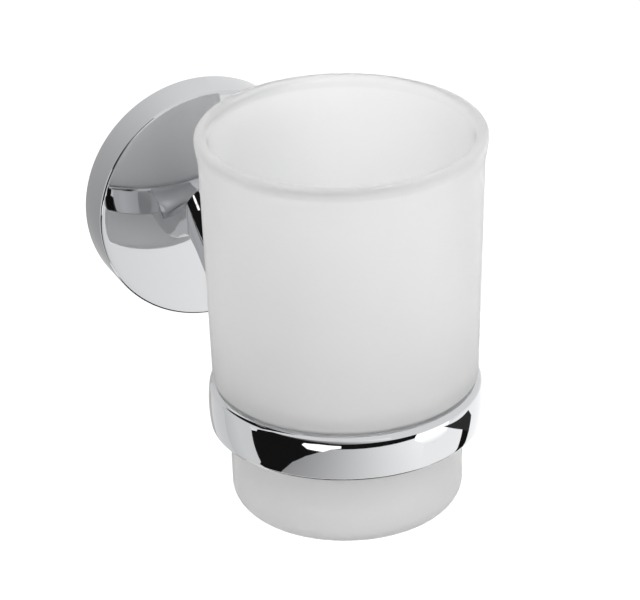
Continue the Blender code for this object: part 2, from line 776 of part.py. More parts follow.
def main():
    clear_scene()
    chrome = make_material("chrome_plate", (0.80, 0.81, 0.82), 0.06, 1.0)
    zinc = make_material("zinc_casting", (0.55, 0.56, 0.58), 0.45, 1.0)
    steel = make_material("zinc_plated_steel", (0.62, 0.62, 0.60), 0.35, 1.0)
    nylon = make_material("grey_nylon", (0.45, 0.46, 0.47), 0.60, 0.0)
    glass = make_material("satin_glass", (0.88, 0.89, 0.89), 0.50, 0.0)
    guide = make_material("guide", (0.90, 0.30, 0.10), 0.50, 0.0)

    make_rose_cover(chrome, guide)
    make_wall_bracket(zinc, guide)
    for place_name, height in (("upper", SCREW_SPACING / 2), ("lower", -SCREW_SPACING / 2)):
        make_wall_screw(f"wall_screw_{place_name}", height, steel, guide)
        make_wall_plug(f"wall_plug_{place_name}", height, nylon, guide)
    make_grub_screw(steel, guide)
    make_arm(chrome, guide)
    make_arm_screw(steel, guide)
    make_arm_washer(steel)
    make_locating_pin(steel)
    make_ring(chrome, guide)
    make_ring_screw(steel, guide)
    make_tumbler(glass)


main()
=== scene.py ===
# %% [markdown]
# # A chromed tumbler holder with a satin glass
#
# The object hangs on a bathroom wall. A round domed rose hides a bracket, a cast arm comes down
# from it, and a chromed band at the arm's end carries a tumbler of satin glass.
# The CAD model is loaded first. It fixes every size and place. The pieces made here stand for its
# nodes and show them as a camera would see them.

# %% Load the CAD model
import math

import bmesh
import bpy
from mathutils import Matrix, Vector


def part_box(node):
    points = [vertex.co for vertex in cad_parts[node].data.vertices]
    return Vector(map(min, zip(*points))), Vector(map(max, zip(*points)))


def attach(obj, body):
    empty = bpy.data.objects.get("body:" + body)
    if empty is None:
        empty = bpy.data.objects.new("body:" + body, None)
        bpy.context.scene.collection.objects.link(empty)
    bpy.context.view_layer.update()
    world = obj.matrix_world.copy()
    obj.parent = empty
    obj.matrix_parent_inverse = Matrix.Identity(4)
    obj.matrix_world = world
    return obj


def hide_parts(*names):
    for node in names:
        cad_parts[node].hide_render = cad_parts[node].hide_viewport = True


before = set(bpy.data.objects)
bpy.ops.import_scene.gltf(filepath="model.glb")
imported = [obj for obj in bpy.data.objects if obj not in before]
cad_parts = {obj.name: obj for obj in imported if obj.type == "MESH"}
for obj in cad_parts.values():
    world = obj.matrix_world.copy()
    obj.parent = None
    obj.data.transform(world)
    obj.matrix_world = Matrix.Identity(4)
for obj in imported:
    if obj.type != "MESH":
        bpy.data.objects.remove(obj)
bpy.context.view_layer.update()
MM = 0.001

# %% [markdown]
# ## Selecting
#
# An operator acts on whatever is selected, and the CAD nodes are all selected after loading. So
# each step starts by clearing the selection. Inside a mesh, vertices, edges and faces are picked
# by their place or angle, because their numbers change with every edit.

# %% Selecting objects and parts of a mesh
def deselect_all():
    if bpy.context.mode != "OBJECT":
        bpy.ops.object.mode_set(mode="OBJECT")
    bpy.ops.object.select_all(action="DESELECT")


def only(item):
    deselect_all()
    item.select_set(True)
    bpy.context.view_layer.objects.active = item


def edit(item):
    only(item)
    bpy.ops.object.mode_set(mode="EDIT")


def pick(kind, test):
    """In edit mode, selects the vertices, edges or faces that pass a test. Returns how many."""
    mesh = bpy.context.object.data
    bpy.ops.mesh.select_mode(type=kind)
    bpy.ops.mesh.select_all(action="DESELECT")
    bm = bmesh.from_edit_mesh(mesh)
    parts = {"VERT": bm.verts, "EDGE": bm.edges, "FACE": bm.faces}[kind]
    chosen = [part for part in parts if test(part)]
    for part in chosen:
        part.select_set(True)
    bm.select_flush_mode()
    bmesh.update_edit_mesh(mesh)
    return len(chosen)

# %% [markdown]
# ## Drawing an outline and spinning it
#
# Cups, bands and glasses are turned or pressed, so each is drawn as half of its section and spun
# about its axis, the way a potter's template works. The outline starts as a small plane that is
# merged into one point, and extruding that point step by step draws the line.
# The Screw modifier could do the same, but the Spin operator keeps the axis in plain sight.

# %% Outline and spin
ROUND_STEPS = 160
SMALL_STEPS = 48
WELD = 0.002 * MM


def put_at_origin(item):
    only(item)
    bpy.ops.object.transform_apply(location=True, rotation=True, scale=True)


def smooth(item, degrees=30.0):
    only(item)
    bpy.ops.object.shade_smooth_by_angle(angle=math.radians(degrees))


def draw_outline(name, points):
    """Draws a line through points by extruding a single vertex. Stays in edit mode."""
    deselect_all()
    bpy.ops.mesh.primitive_plane_add(size=MM, location=points[0])
    item = bpy.context.object
    item.name = name
    put_at_origin(item)
    edit(item)
    bpy.ops.mesh.select_mode(type="VERT")
    bpy.ops.mesh.select_all(action="SELECT")
    bpy.ops.mesh.merge(type="CENTER")
    for before, after in zip(points, points[1:]):
        step = Vector(after) - Vector(before)
        bpy.ops.mesh.extrude_region_move(TRANSFORM_OT_translate={"value": step})
    return item


def close_up(item):
    """Merges doubles, turns the faces outwards and leaves edit mode."""
    bpy.ops.mesh.select_all(action="SELECT")
    bpy.ops.mesh.remove_doubles(threshold=WELD)
    bpy.ops.mesh.normals_make_consistent(inside=False)
    bpy.ops.object.mode_set(mode="OBJECT")
    smooth(item)


def spin_outline(name, points, centre, axis, steps):
    """Spins an outline about an axis into a closed piece."""
    item = draw_outline(name, points)
    bpy.ops.mesh.select_all(action="SELECT")
    bpy.ops.mesh.spin(steps=steps, angle=2 * math.pi, center=centre, axis=axis)
    close_up(item)
    return item


def spin_level(name, points, axis_z=0.0, steps=ROUND_STEPS):
    """Spins points (radius, distance from the wall) about a level axis at this height."""
    placed = [(0.0, -h, axis_z + r) for r, h in points]
    return spin_outline(name, placed, (0.0, 0.0, axis_z), (0, 1, 0), steps)


def spin_upright(name, points, centre_y, centre_z, steps=ROUND_STEPS):
    """Spins points (radius, height above the centre) about an upright axis."""
    placed = [(r, centre_y, centre_z + h) for r, h in points]
    return spin_outline(name, placed, (0.0, centre_y, centre_z), (0, 0, 1), steps)


def arc(centre_r, centre_h, radius, start, end, steps):
    """Points (distance from the axis, height) of an arc. Angles are in degrees."""
    points = []
    for i in range(steps + 1):
        angle = math.radians(start + (end - start) * i / steps)
        points.append((centre_r + radius * math.cos(angle), centre_h + radius * math.sin(angle)))
    return points

# %% [markdown]
# ## Modifiers that are applied at once
#
# Holes are cut and lugs are joined with Boolean modifiers, as a machinist would drill and braze.
# Each modifier is applied straight away and its helper removed, so that the finished piece is a
# plain mesh that rides on its body. The helpers are bars and blocks, one for each drill or saw.

# %% Applying modifiers
LYING = (math.pi / 2, 0.0, 0.0)
STANDING = (0.0, 0.0, 0.0)


def apply_modifier(item, kind, **settings):
    only(item)
    modifier = item.modifiers.new(kind.lower(), kind)
    for key, value in settings.items():
        setattr(modifier, key, value)
    bpy.ops.object.modifier_apply(modifier=modifier.name)


def combine(item, helper, operation):
    """Cuts a helper out of a piece, or joins it on, and removes the helper."""
    apply_modifier(item, "BOOLEAN", operation=operation, solver="EXACT", object=helper)
    bpy.data.objects.remove(helper)


def bevel_sharp(item, width, degrees):
    """Bevels the edges that are sharper than an angle, and shades the piece smooth."""
    turn = math.radians(degrees)
    apply_modifier(item, "BEVEL", width=width, segments=2, limit_method="ANGLE", angle_limit=turn)
    smooth(item)


def add_bar(radius, start, end, place=(0.0, 0.0), turn=LYING, sides=SMALL_STEPS):
    """A round or hexagonal bar. It lies along Y from start to end out of the wall, at (x, z),
    or it stands along Z from start to end, at (x, y)."""
    deselect_all()
    middle = (start + end) / 2
    location = (place[0], -middle, place[1]) if turn == LYING else (place[0], place[1], middle)
    bpy.ops.mesh.primitive_cylinder_add(
        vertices=sides, radius=radius, depth=abs(end - start), location=location, rotation=turn
    )
    bar = bpy.context.object
    put_at_origin(bar)
    return bar


def add_block(middle, size):
    """A block round its middle, with its lengths along X, Y and Z."""
    deselect_all()
    bpy.ops.mesh.primitive_cube_add(size=1.0, location=middle, scale=size)
    block = bpy.context.object
    put_at_origin(block)
    return block

# %% [markdown]
# ## The ring
#
# A chromed band turned from brass. Its outer face bulges a little, its top edge has a generous
# rounding and its foot a small one, and the glass rests on the inner lip.
# The face is one large arc and each rounding is an arc that is tangent to it, because on a mirror
# finish any kink would break the reflections.

# %% Ring section
RING_REACH = 92.0 * MM
RING_DROP = 15.95 * MM
RING_HALF = 5.65 * MM
RING_OUTER = 32.6 * MM
RING_BORE = 29.8 * MM
RING_BULGE = 0.5 * MM
RING_TOP_ROUND = 1.7 * MM
RING_FOOT_ROUND = 0.8 * MM
RING_LIP = 0.6 * MM
RING_CENTRE = (0.0, -RING_REACH, -RING_DROP)


def ring_face(grow):
    """Outer side of the ring from foot to top, or that of the room around it."""
    face_radius = (RING_HALF**2 + RING_BULGE**2) / (2 * RING_BULGE)
    face_centre = RING_OUTER - face_radius
    ends = []
    for rounding in (RING_FOOT_ROUND, RING_TOP_ROUND):
        rise = RING_HALF - rounding
        run = math.sqrt((face_radius - rounding) ** 2 - rise**2)
        ends.append((face_centre + run, rise, math.degrees(math.atan2(rise, run))))
    (foot_r, foot_h, foot_turn), (top_r, top_h, top_turn) = ends
    points = arc(foot_r, -foot_h, RING_FOOT_ROUND + grow, -90, -foot_turn, 8)
    points += arc(face_centre, 0.0, face_radius + grow, -foot_turn, top_turn, 16)[1:-1]
    points += arc(top_r, top_h, RING_TOP_ROUND + grow, top_turn, 90, 10)
    return points


def ring_section():
    lip_r, lip_h = RING_BORE + RING_LIP, RING_HALF - RING_LIP
    points = ring_face(0.0)
    points += arc(lip_r, lip_h, RING_LIP, 90, 180, 6)
    points += arc(lip_r, -lip_h, RING_LIP, 180, 270, 6)
    return points + [points[0]]

# %% Spin the ring and countersink its screw hole
FIT_GAP = 0.3 * MM
OVERRUN = 2.0 * MM
RING_SCREW_RADIUS = 2.0 * MM
RING_SCREW_HOLE = RING_SCREW_RADIUS + FIT_GAP
RING_HEAD_RADIUS = 3.9 * MM
RING_HEAD_DEPTH = 2.0 * MM
RING_SCREW_FACE = RING_REACH - RING_BORE - FIT_GAP

ring_band = spin_upright("ring_band", ring_section(), -RING_REACH, -RING_DROP)
sink = RING_HEAD_RADIUS + FIT_GAP
countersink_section = [
    (0.0, RING_REACH - RING_OUTER - OVERRUN),
    (RING_SCREW_HOLE, RING_REACH - RING_OUTER - OVERRUN),
    (RING_SCREW_HOLE, RING_SCREW_FACE - RING_HEAD_DEPTH),
    (sink, RING_SCREW_FACE),
    (sink, RING_SCREW_FACE + OVERRUN),
    (0.0, RING_SCREW_FACE + OVERRUN),
]
countersink = spin_level("countersink", countersink_section, -RING_DROP, SMALL_STEPS)
combine(ring_band, countersink, "DIFFERENCE")
smooth(ring_band)
print("ring_band:", len(ring_band.data.polygons), "faces")

# %% [markdown]
# ## The rose cover
#
# A cast and plated cup with a shallow dome in front. The dome is part of a large sphere, which is
# why it mirrors the ring and the glass like a wide-angle mirror. Inside, a hook hangs on the
# bracket's top edge and a boss at the foot takes the grub screw.
# Its axis lies along Y, so the section is drawn above that axis and spun about Y.

# %% Rose cover section
ROSE_RADIUS = 30.5 * MM
ROSE_DEPTH = 10.5 * MM
ROSE_RISE = 2.1 * MM
ROSE_WALL = 2.0 * MM
ROSE_EDGE = 0.7 * MM
ROSE_INSIDE = ROSE_RADIUS - ROSE_WALL
ROSE_FRONT = ROSE_DEPTH + ROSE_RISE


def dome_circle():
    """Centre, radius and edge angle of the sphere that is tangent to the rounded edge."""
    edge_r = ROSE_RADIUS - ROSE_EDGE
    below = (edge_r**2 - ROSE_RISE**2) / (2 * ROSE_RISE)
    tilt = math.degrees(math.atan2(edge_r, below))
    return ROSE_DEPTH - ROSE_EDGE - below, ROSE_EDGE + below + ROSE_RISE, tilt


def rose_section():
    centre_h, radius, tilt = dome_circle()
    inner = radius - ROSE_WALL
    inner_tilt = math.degrees(math.asin(ROSE_INSIDE / inner))
    points = arc(0.0, centre_h, inner, 90, 90 - inner_tilt, 8)
    points += [(ROSE_INSIDE, 0.0), (ROSE_RADIUS, 0.0)]
    points += arc(ROSE_RADIUS - ROSE_EDGE, ROSE_DEPTH - ROSE_EDGE, ROSE_EDGE, 0, 90 - tilt, 8)
    points += arc(0.0, centre_h, radius, 90 - tilt, 90, 24)[1:]
    return points


rose_shell = spin_level("rose_shell", rose_section())
print("rose_shell:", len(rose_shell.data.polygons), "faces")

# %% Hook and boss inside the cover
HOOK_WIDTH = 10.0 * MM
HOOK_THICKNESS = 2.0 * MM
HOOK_SET_BACK = 0.6 * MM
HOOK_LOW = 17.8 * MM
HOOK_EDGE = 0.3 * MM
BOSS_RADIUS = 3.5 * MM
BOSS_TOP = -25.0 * MM
GRUB_OUT = 4.0 * MM
GRUB_RADIUS = 2.0 * MM
INTO_SHELL = ROSE_INSIDE + ROSE_WALL / 2

hook = add_block(
    (0.0, -HOOK_SET_BACK - HOOK_THICKNESS / 2, (HOOK_LOW + INTO_SHELL) / 2),
    (HOOK_WIDTH, HOOK_THICKNESS, INTO_SHELL - HOOK_LOW),
)
apply_modifier(hook, "BEVEL", width=HOOK_EDGE, segments=2)
boss = add_bar(BOSS_RADIUS, -INTO_SHELL, BOSS_TOP, (0.0, -GRUB_OUT), STANDING)
for part in (hook, boss):
    combine(rose_shell, part, "UNION")
print("rose_shell with hook and boss:", len(rose_shell.data.polygons), "faces")

# %% Holes in the cover
ARM_SCREW_Z = -2.8 * MM
ARM_SCREW_RADIUS = 2.5 * MM
PIN_Z = 2.1 * MM
PIN_RADIUS = 1.0 * MM
PIN_IN_COVER = 1.2 * MM
GRUB_HOLE = GRUB_RADIUS + FIT_GAP
ARM_SCREW_HOLE = ARM_SCREW_RADIUS + FIT_GAP
PIN_HOLE = PIN_RADIUS + FIT_GAP

in_front = ROSE_FRONT + OVERRUN
for drill in (
    add_bar(GRUB_HOLE, -ROSE_RADIUS - OVERRUN, BOSS_TOP + OVERRUN, (0.0, -GRUB_OUT), STANDING),
    add_bar(ARM_SCREW_HOLE, OVERRUN, in_front, (0.0, ARM_SCREW_Z)),
    add_bar(PIN_HOLE, ROSE_FRONT - PIN_IN_COVER - FIT_GAP, in_front, (0.0, PIN_Z)),
):
    combine(rose_shell, drill, "DIFFERENCE")
smooth(rose_shell)
print("rose_shell with its holes:", len(rose_shell.data.polygons), "faces")

# %% [markdown]
# ## The arm
#
# A plated casting. Seen from the side it leaves the rose, sweeps down and levels out at the ring.
# Its underside is flat, its flanks are upright, and its top is arched, strongly at the rose and
# hardly at all at the ring. A sharp edge parts flank and arch.
# A curve with a bevel shape couldn't change its section like that. So the section is drawn once
# and extruded in short steps, and at every step the arch and the flank are scaled to the height
# that they have there.

# %% Heights along the arm
ARM_WIDTH = 15.8 * MM
ARM_END = RING_REACH - RING_OUTER
ROOT_FOOT = -6.9 * MM
ROOT_FLANK = 2.6 * MM
ROOT_CROWN = 4.2 * MM
ARM_INSET = 0.1 * MM
END_FOOT = ARM_INSET - RING_HALF - RING_DROP
END_TOP = RING_HALF - RING_DROP - ARM_INSET
END_CROWN = 0.5 * MM

# Each pair is a share of the way from rose to ring and a share of the drop.
FOOT_SHARES = ((0.0, 0.0), (0.10, 0.14), (0.26, 0.47), (0.56, 0.82), (1.0, 1.0))
FLANK_SHARES = (
    ((0.0, 0.0), (0.10, 0.29), (0.26, 0.64), (0.42, 0.95))
    + ((0.58, 1.22), (0.76, 1.02), (1.0, 1.0))
)
CROWN_SHARES = (
    ((0.0, 0.0), (0.10, 0.22), (0.26, 0.50), (0.42, 0.74))
    + ((0.60, 0.98), (0.76, 1.0), (1.0, 1.0))
)


def along(shares, run):
    """Smooth curve through a table of shares, read at a share of the way."""
    run = min(max(run, shares[0][0]), shares[-1][0])
    slopes = []
    for i in range(len(shares)):
        before, after = shares[max(i - 1, 0)], shares[min(i + 1, len(shares) - 1)]
        slopes.append((after[1] - before[1]) / (after[0] - before[0]))
    i = max(k for k in range(len(shares) - 1) if shares[k][0] <= run)
    (start, low), (end, high) = shares[i], shares[i + 1]
    span, t = end - start, (run - start) / (end - start)
    return (
        low * (2 * t**3 - 3 * t**2 + 1)
        + high * (3 * t**2 - 2 * t**3)
        + span * slopes[i] * (t**3 - 2 * t**2 + t)
        + span * slopes[i + 1] * (t**3 - t**2)
    )


def arm_heights(out):
    """Foot, top of the flank and top of the arch, at a distance from the wall."""
    run = (out - ROSE_FRONT) / (ARM_END - ROSE_FRONT)
    root_top, end_flank = ROOT_FLANK + ROOT_CROWN, END_TOP - END_CROWN
    foot = ROOT_FOOT + (END_FOOT - ROOT_FOOT) * along(FOOT_SHARES, run)
    flank = ROOT_FLANK + (end_flank - ROOT_FLANK) * along(FLANK_SHARES, run)
    crown = root_top + (END_TOP - root_top) * along(CROWN_SHARES, run)
    return foot, flank, crown


print("arm half way, in mm:", [round(h / MM, 1) for h in arm_heights((ROSE_FRONT + ARM_END) / 2)])

# %% Extrude the section along the arm
ARM_STATIONS = 48
ARCH_STEPS = 24
HAIR = 0.01 * MM


def draw_face(name, points):
    """Draws an outline and fills it with one face. Stays in edit mode."""
    item = draw_outline(name, points)
    bpy.ops.mesh.select_all(action="SELECT")
    bpy.ops.mesh.edge_face_add()
    return item


def root_section(out):
    foot, flank, crown = arm_heights(out)
    half, rise = ARM_WIDTH / 2, crown - flank
    radius = (half**2 + rise**2) / (2 * rise)
    turn = math.degrees(math.asin(half / radius))
    arch = arc(0.0, crown - radius, radius, 90 - turn, 90 + turn, ARCH_STEPS)
    return [(x, -out, z) for x, z in [(-half, foot), (half, foot)] + arch]


def stretch(ratio, out, height):
    bpy.ops.transform.resize(value=(1.0, 1.0, ratio), center_override=(0.0, -out, height))


first, last = ROSE_DEPTH, ARM_END + OVERRUN
step = (last - first) / ARM_STATIONS
curved_arm = draw_face("curved_arm", root_section(first))
was = arm_heights(first)
for i in range(1, ARM_STATIONS + 1):
    out = first + step * i
    now = arm_heights(out)
    drop = now[1] - was[1]
    bpy.ops.mesh.extrude_region_move(TRANSFORM_OT_translate={"value": (0.0, -step, drop)})
    pick("VERT", lambda v: abs(v.co.y + out) < HAIR and v.co.z > now[1] + HAIR)
    stretch((now[2] - now[1]) / (was[2] - was[1]), out, now[1])
    pick("VERT", lambda v: abs(v.co.y + out) < HAIR and v.co.z < now[1] - HAIR)
    stretch((now[1] - now[0]) / (was[1] - was[0]), out, now[1])
    pick("FACE", lambda f: all(abs(v.co.y + out) < HAIR for v in f.verts))
    was = now
print("arm extruded over", ARM_STATIONS, "steps")

# %% Soften the four long edges
FOOT_ROUND = 0.8 * MM
FLANK_ROUND = 0.2 * MM


def runs_along(edge):
    """True for an edge that runs along the arm at one of its sides."""
    a, b = edge.verts
    side = ARM_WIDTH / 2 - HAIR
    return abs(a.co.y - b.co.y) > HAIR and min(abs(a.co.x), abs(b.co.x)) > side


def is_foot(edge):
    return runs_along(edge) and edge.verts[0].co.z < arm_heights(-edge.verts[0].co.y)[0] + HAIR


def is_flank_top(edge):
    return runs_along(edge) and edge.verts[0].co.z > arm_heights(-edge.verts[0].co.y)[1] - HAIR


found_below = pick("EDGE", is_foot)
bpy.ops.mesh.bevel(offset=FOOT_ROUND, segments=5, affect="EDGES")
found_above = pick("EDGE", is_flank_top)
bpy.ops.mesh.bevel(offset=FLANK_ROUND, segments=3, affect="EDGES")
close_up(curved_arm)
print("bevelled", found_below, "edges below and", found_above, "above")

# %% [markdown]
# The arm's ends aren't flat. Its root lies on the dome and its tip lies against the ring, so each
# end is cut with a solid of that shape, a hair larger, which leaves the thin dark joint that a
# real assembly shows.

# %% Fit the arm to the rose and the ring
JOINT = 0.1 * MM
ARM_SCREW_ENGAGED = 6.5 * MM
PIN_IN_ARM = 2.2 * MM
RING_SCREW_LENGTH = 12.0 * MM


def dome_room(gap):
    centre_h, radius, tilt = dome_circle()
    points = [(0.0, 0.0), (ROSE_RADIUS, 0.0)]
    points += arc(0.0, centre_h, radius + gap, 90 - tilt, 90, 24)
    return spin_level("dome_room", points)


def ring_room(gap):
    over = RING_HALF + gap
    points = [(0.0, -over)] + ring_face(gap) + [(0.0, over)]
    return spin_upright("ring_room", points, -RING_REACH, -RING_DROP)


screw_deep = ROSE_FRONT + ARM_SCREW_ENGAGED + 2 * FIT_GAP
pin_deep = ROSE_FRONT + PIN_IN_ARM + 2 * FIT_GAP
ring_screw_deep = RING_SCREW_FACE - RING_SCREW_LENGTH - FIT_GAP
for cutter in (
    dome_room(JOINT),
    ring_room(JOINT),
    add_bar(ARM_SCREW_HOLE, OVERRUN, screw_deep, (0.0, ARM_SCREW_Z)),
    add_bar(PIN_HOLE, OVERRUN, pin_deep, (0.0, PIN_Z)),
    add_bar(RING_SCREW_HOLE, ring_screw_deep, RING_REACH - RING_BORE, (0.0, -RING_DROP)),
):
    combine(curved_arm, cutter, "DIFFERENCE")
smooth(curved_arm)
print("curved_arm:", len(curved_arm.data.polygons), "faces")

# %% [markdown]
# ## The tumbler
#
# A pressed glass with a thick foot, a shoulder that rests in the ring and a rolled rim.
# Its whole wall is drawn as one closed outline, outside and inside, so that light passes through
# two surfaces and the foot reads thicker than the wall. A single surface with a Solidify modifier
# would give the same wall everywhere, which a pressed glass doesn't have.

# %% Tumbler outline
RIM_RADIUS = 34.0 * MM
RIM_BEAD = 1.5 * MM
RIM_FLARE = 0.85 * MM
FLARE_LENGTH = 6.5 * MM
BODY_LENGTH = 61.6 * MM
BODY_REST = 1.7 * MM
BODY_RADIUS = RING_BORE + BODY_REST
BASE_LENGTH = 33.6 * MM
BASE_PLAY = 1.9 * MM
BASE_RADIUS = RING_BORE - BASE_PLAY
BASE_TAPER = 0.4 * MM
GLASS_WALL = 2.8 * MM
SHOULDER = 1.5 * MM
SHOULDER_TURN = 84.0
FOOT_RADIUS = 5.0 * MM
FOOT_RISE = 0.8 * MM
FOOT_BAND = 5.0 * MM
FLOOR_THICKNESS = 6.0 * MM
BEND_ABOVE = 3.5 * MM
BEND_BELOW = 1.8 * MM
FLARE_STEPS = 8
BEND_STEPS = 16


def ease(share):
    return share * share * (3.0 - 2.0 * share)


def tumbler_outline():
    """Points about the shoulder, from the underside round the rim to the inner floor."""
    step = 1.0 - math.cos(math.radians(SHOULDER_TURN))
    hollow = (BODY_RADIUS - BASE_RADIUS - SHOULDER * step) / step
    base_h = -(SHOULDER + hollow) * math.sin(math.radians(SHOULDER_TURN))
    foot_r = BASE_RADIUS - BASE_TAPER - FOOT_RADIUS
    points = [(0.0, FOOT_RISE - BASE_LENGTH), (foot_r - FOOT_BAND, FOOT_RISE - BASE_LENGTH)]
    points += arc(foot_r, FOOT_RADIUS - BASE_LENGTH, FOOT_RADIUS, -90, 0, 12)
    points += arc(BASE_RADIUS + hollow, base_h, hollow, 180, 180 - SHOULDER_TURN, 8)
    points += arc(BODY_RADIUS - SHOULDER, 0.0, SHOULDER, -SHOULDER_TURN, 0, 8)[1:]
    neck, bead_h = RIM_RADIUS - RIM_FLARE, BODY_LENGTH - RIM_BEAD
    for i in range(FLARE_STEPS):
        share = i / FLARE_STEPS
        points.append((neck + RIM_FLARE * ease(share), bead_h - FLARE_LENGTH * (1 - share)))
    points += arc(RIM_RADIUS - RIM_BEAD, bead_h, RIM_BEAD, 0, 180, 16)
    points.append((neck - GLASS_WALL, bead_h - FLARE_LENGTH))
    high, low = BEND_ABOVE, base_h - BEND_BELOW
    wide, narrow = BODY_RADIUS - GLASS_WALL, BASE_RADIUS - GLASS_WALL
    for i in range(BEND_STEPS + 1):
        share = i / BEND_STEPS
        points.append((wide + (narrow - wide) * ease(share), high + (low - high) * share))
    floor_r = foot_r + FOOT_RADIUS - GLASS_WALL
    floor_h = FLOOR_THICKNESS - BASE_LENGTH
    points += arc(floor_r - FOOT_RADIUS, floor_h + FOOT_RADIUS, FOOT_RADIUS, 0, -90, 12)
    return points + [(0.0, floor_h)]

# %% Spin the tumbler
shoulder_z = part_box("tumbler")[0].z + BASE_LENGTH
satin_tumbler = spin_upright("satin_tumbler", tumbler_outline(), -RING_REACH, shoulder_z)
print("satin_tumbler:", len(satin_tumbler.data.polygons), "faces")

# %% [markdown]
# ## The bracket
#
# A zinc disc that stays on the wall. Its edge narrows towards the wall, so that the cover's hook
# and the point of the grub screw pull the cover back as they tighten. The round hole above and
# the slot below take the wall screws, and the slot lets the disc be turned level.
# It is spun, drilled, and then bevelled by angle, because a casting has no knife-sharp edges.

# %% Bracket disc with its hole and slot
BRACKET_FRONT_RADIUS = 22.5 * MM
BRACKET_BACK_RADIUS = 20.0 * MM
BRACKET_THICKNESS = 5.0 * MM
BRACKET_CHAMFER = 0.5 * MM
BRACKET_EDGE = 0.2 * MM
SCREW_SPACING = 24.0 * MM
SLOT_TRAVEL = 3.0 * MM
WALL_SCREW_RADIUS = 2.1 * MM
WALL_SCREW_HOLE = WALL_SCREW_RADIUS + FIT_GAP
UPPER_Z, LOWER_Z = SCREW_SPACING / 2, -SCREW_SPACING / 2

bracket_section = [
    (0.0, 0.0),
    (BRACKET_BACK_RADIUS, 0.0),
    (BRACKET_FRONT_RADIUS, BRACKET_THICKNESS - BRACKET_CHAMFER),
    (BRACKET_FRONT_RADIUS - BRACKET_CHAMFER, BRACKET_THICKNESS),
    (0.0, BRACKET_THICKNESS),
]
bracket_disc = spin_level("bracket_disc", bracket_section)
through = (-OVERRUN, BRACKET_THICKNESS + OVERRUN)
combine(bracket_disc, add_bar(WALL_SCREW_HOLE, *through, (0.0, UPPER_Z)), "DIFFERENCE")
slot = add_bar(WALL_SCREW_HOLE, *through, (-SLOT_TRAVEL / 2, LOWER_Z))
edit(slot)
pick("VERT", lambda v: v.co.x > -SLOT_TRAVEL / 2 - HAIR)
bpy.ops.transform.translate(value=(SLOT_TRAVEL, 0.0, 0.0))
bpy.ops.object.mode_set(mode="OBJECT")
combine(bracket_disc, slot, "DIFFERENCE")
bevel_sharp(bracket_disc, BRACKET_EDGE, 50)
print("bracket_disc:", len(bracket_disc.data.polygons), "faces")

# %% [markdown]
# ## Screws
#
# Every screw is a turned core with a helical ridge around it. The ridge starts as a small closed
# trapezium beside the axis. The Screw modifier winds it up by one pitch for each turn, and its two
# open ends are filled. A bump pattern would look like a thread from afar, but its outline would
# stay smooth, and the screws can be seen from the side here.

# %% Winding a thread
THREAD_STEPS = 32
CREST_SHARE = 0.14
ROOT_SHARE = 0.96
SUNK_SHARE = 0.05


def add_thread(core, crest, pitch, start, end, axis, place):
    """A closed helical ridge along Y or Z, from start to end, about a line through place."""
    turns = int((end - start) / pitch) - 1
    sunk = core - crest * SUNK_SHARE
    section = [
        (sunk, 0.0),
        (crest, (ROOT_SHARE - CREST_SHARE) / 2 * pitch),
        (crest, (ROOT_SHARE + CREST_SHARE) / 2 * pitch),
        (sunk, ROOT_SHARE * pitch),
    ]
    if axis == "Y":
        corners = [(0.0, start + h, r) for r, h in section]
    else:
        corners = [(r, 0.0, start + h) for r, h in section]
    ridge = draw_face("thread", corners)
    bpy.ops.mesh.delete(type="ONLY_FACE")
    bpy.ops.object.mode_set(mode="OBJECT")
    apply_modifier(
        ridge,
        "SCREW",
        axis=axis,
        angle=2 * math.pi,
        screw_offset=pitch,
        iterations=turns,
        steps=THREAD_STEPS,
        render_steps=THREAD_STEPS,
    )
    edit(ridge)
    bpy.ops.mesh.select_all(action="SELECT")
    bpy.ops.mesh.fill_holes(sides=len(section))
    close_up(ridge)
    ridge.location = place
    put_at_origin(ridge)
    return ridge


def fasten(core, ridge):
    """Joins a ridge to its core, so the screw is one piece."""
    only(core)
    ridge.select_set(True)
    bpy.ops.object.join()

# %% Wall screws
WALL_SCREW_POINT = 25.0 * MM
WALL_SCREW_CORE = 1.45 * MM
WALL_THREAD_PITCH = 1.6 * MM
POINT_LENGTH = 3.0 * MM
WALL_HEAD_RADIUS = 3.8 * MM
WALL_HEAD_HEIGHT = 2.6 * MM
CROSS_WIDTH = 1.0 * MM
CROSS_LENGTH = 4.4 * MM
CROSS_DEPTH = 1.6 * MM
SHANK_SHARE = 0.7

seat = BRACKET_THICKNESS + FIT_GAP
head_round = WALL_HEAD_HEIGHT / 2
head_top = seat + WALL_HEAD_HEIGHT
screw_outline = [
    (0.0, -WALL_SCREW_POINT),
    (WALL_SCREW_CORE, POINT_LENGTH - WALL_SCREW_POINT),
    (WALL_SCREW_CORE, BRACKET_THICKNESS / 2),
    (WALL_SCREW_RADIUS, BRACKET_THICKNESS * SHANK_SHARE),
    (WALL_SCREW_RADIUS, seat),
    (WALL_HEAD_RADIUS, seat),
]
screw_outline += arc(WALL_HEAD_RADIUS - head_round, seat + head_round, head_round, 0, 90, 8)
screw_outline.append((0.0, head_top))
upper_wall_screw = spin_level("upper_wall_screw", screw_outline, 0.0, SMALL_STEPS)
for width, height in ((CROSS_WIDTH, CROSS_LENGTH), (CROSS_LENGTH, CROSS_WIDTH)):
    groove = add_block((0.0, -head_top, 0.0), (width, 2 * CROSS_DEPTH, height))
    combine(upper_wall_screw, groove, "DIFFERENCE")
smooth(upper_wall_screw)
wall_thread = add_thread(
    WALL_SCREW_CORE,
    WALL_SCREW_RADIUS,
    WALL_THREAD_PITCH,
    -BRACKET_THICKNESS / 2,
    WALL_SCREW_POINT - POINT_LENGTH,
    "Y",
    (0.0, 0.0, 0.0),
)
fasten(upper_wall_screw, wall_thread)
print("wall screw:", len(upper_wall_screw.data.polygons), "faces")

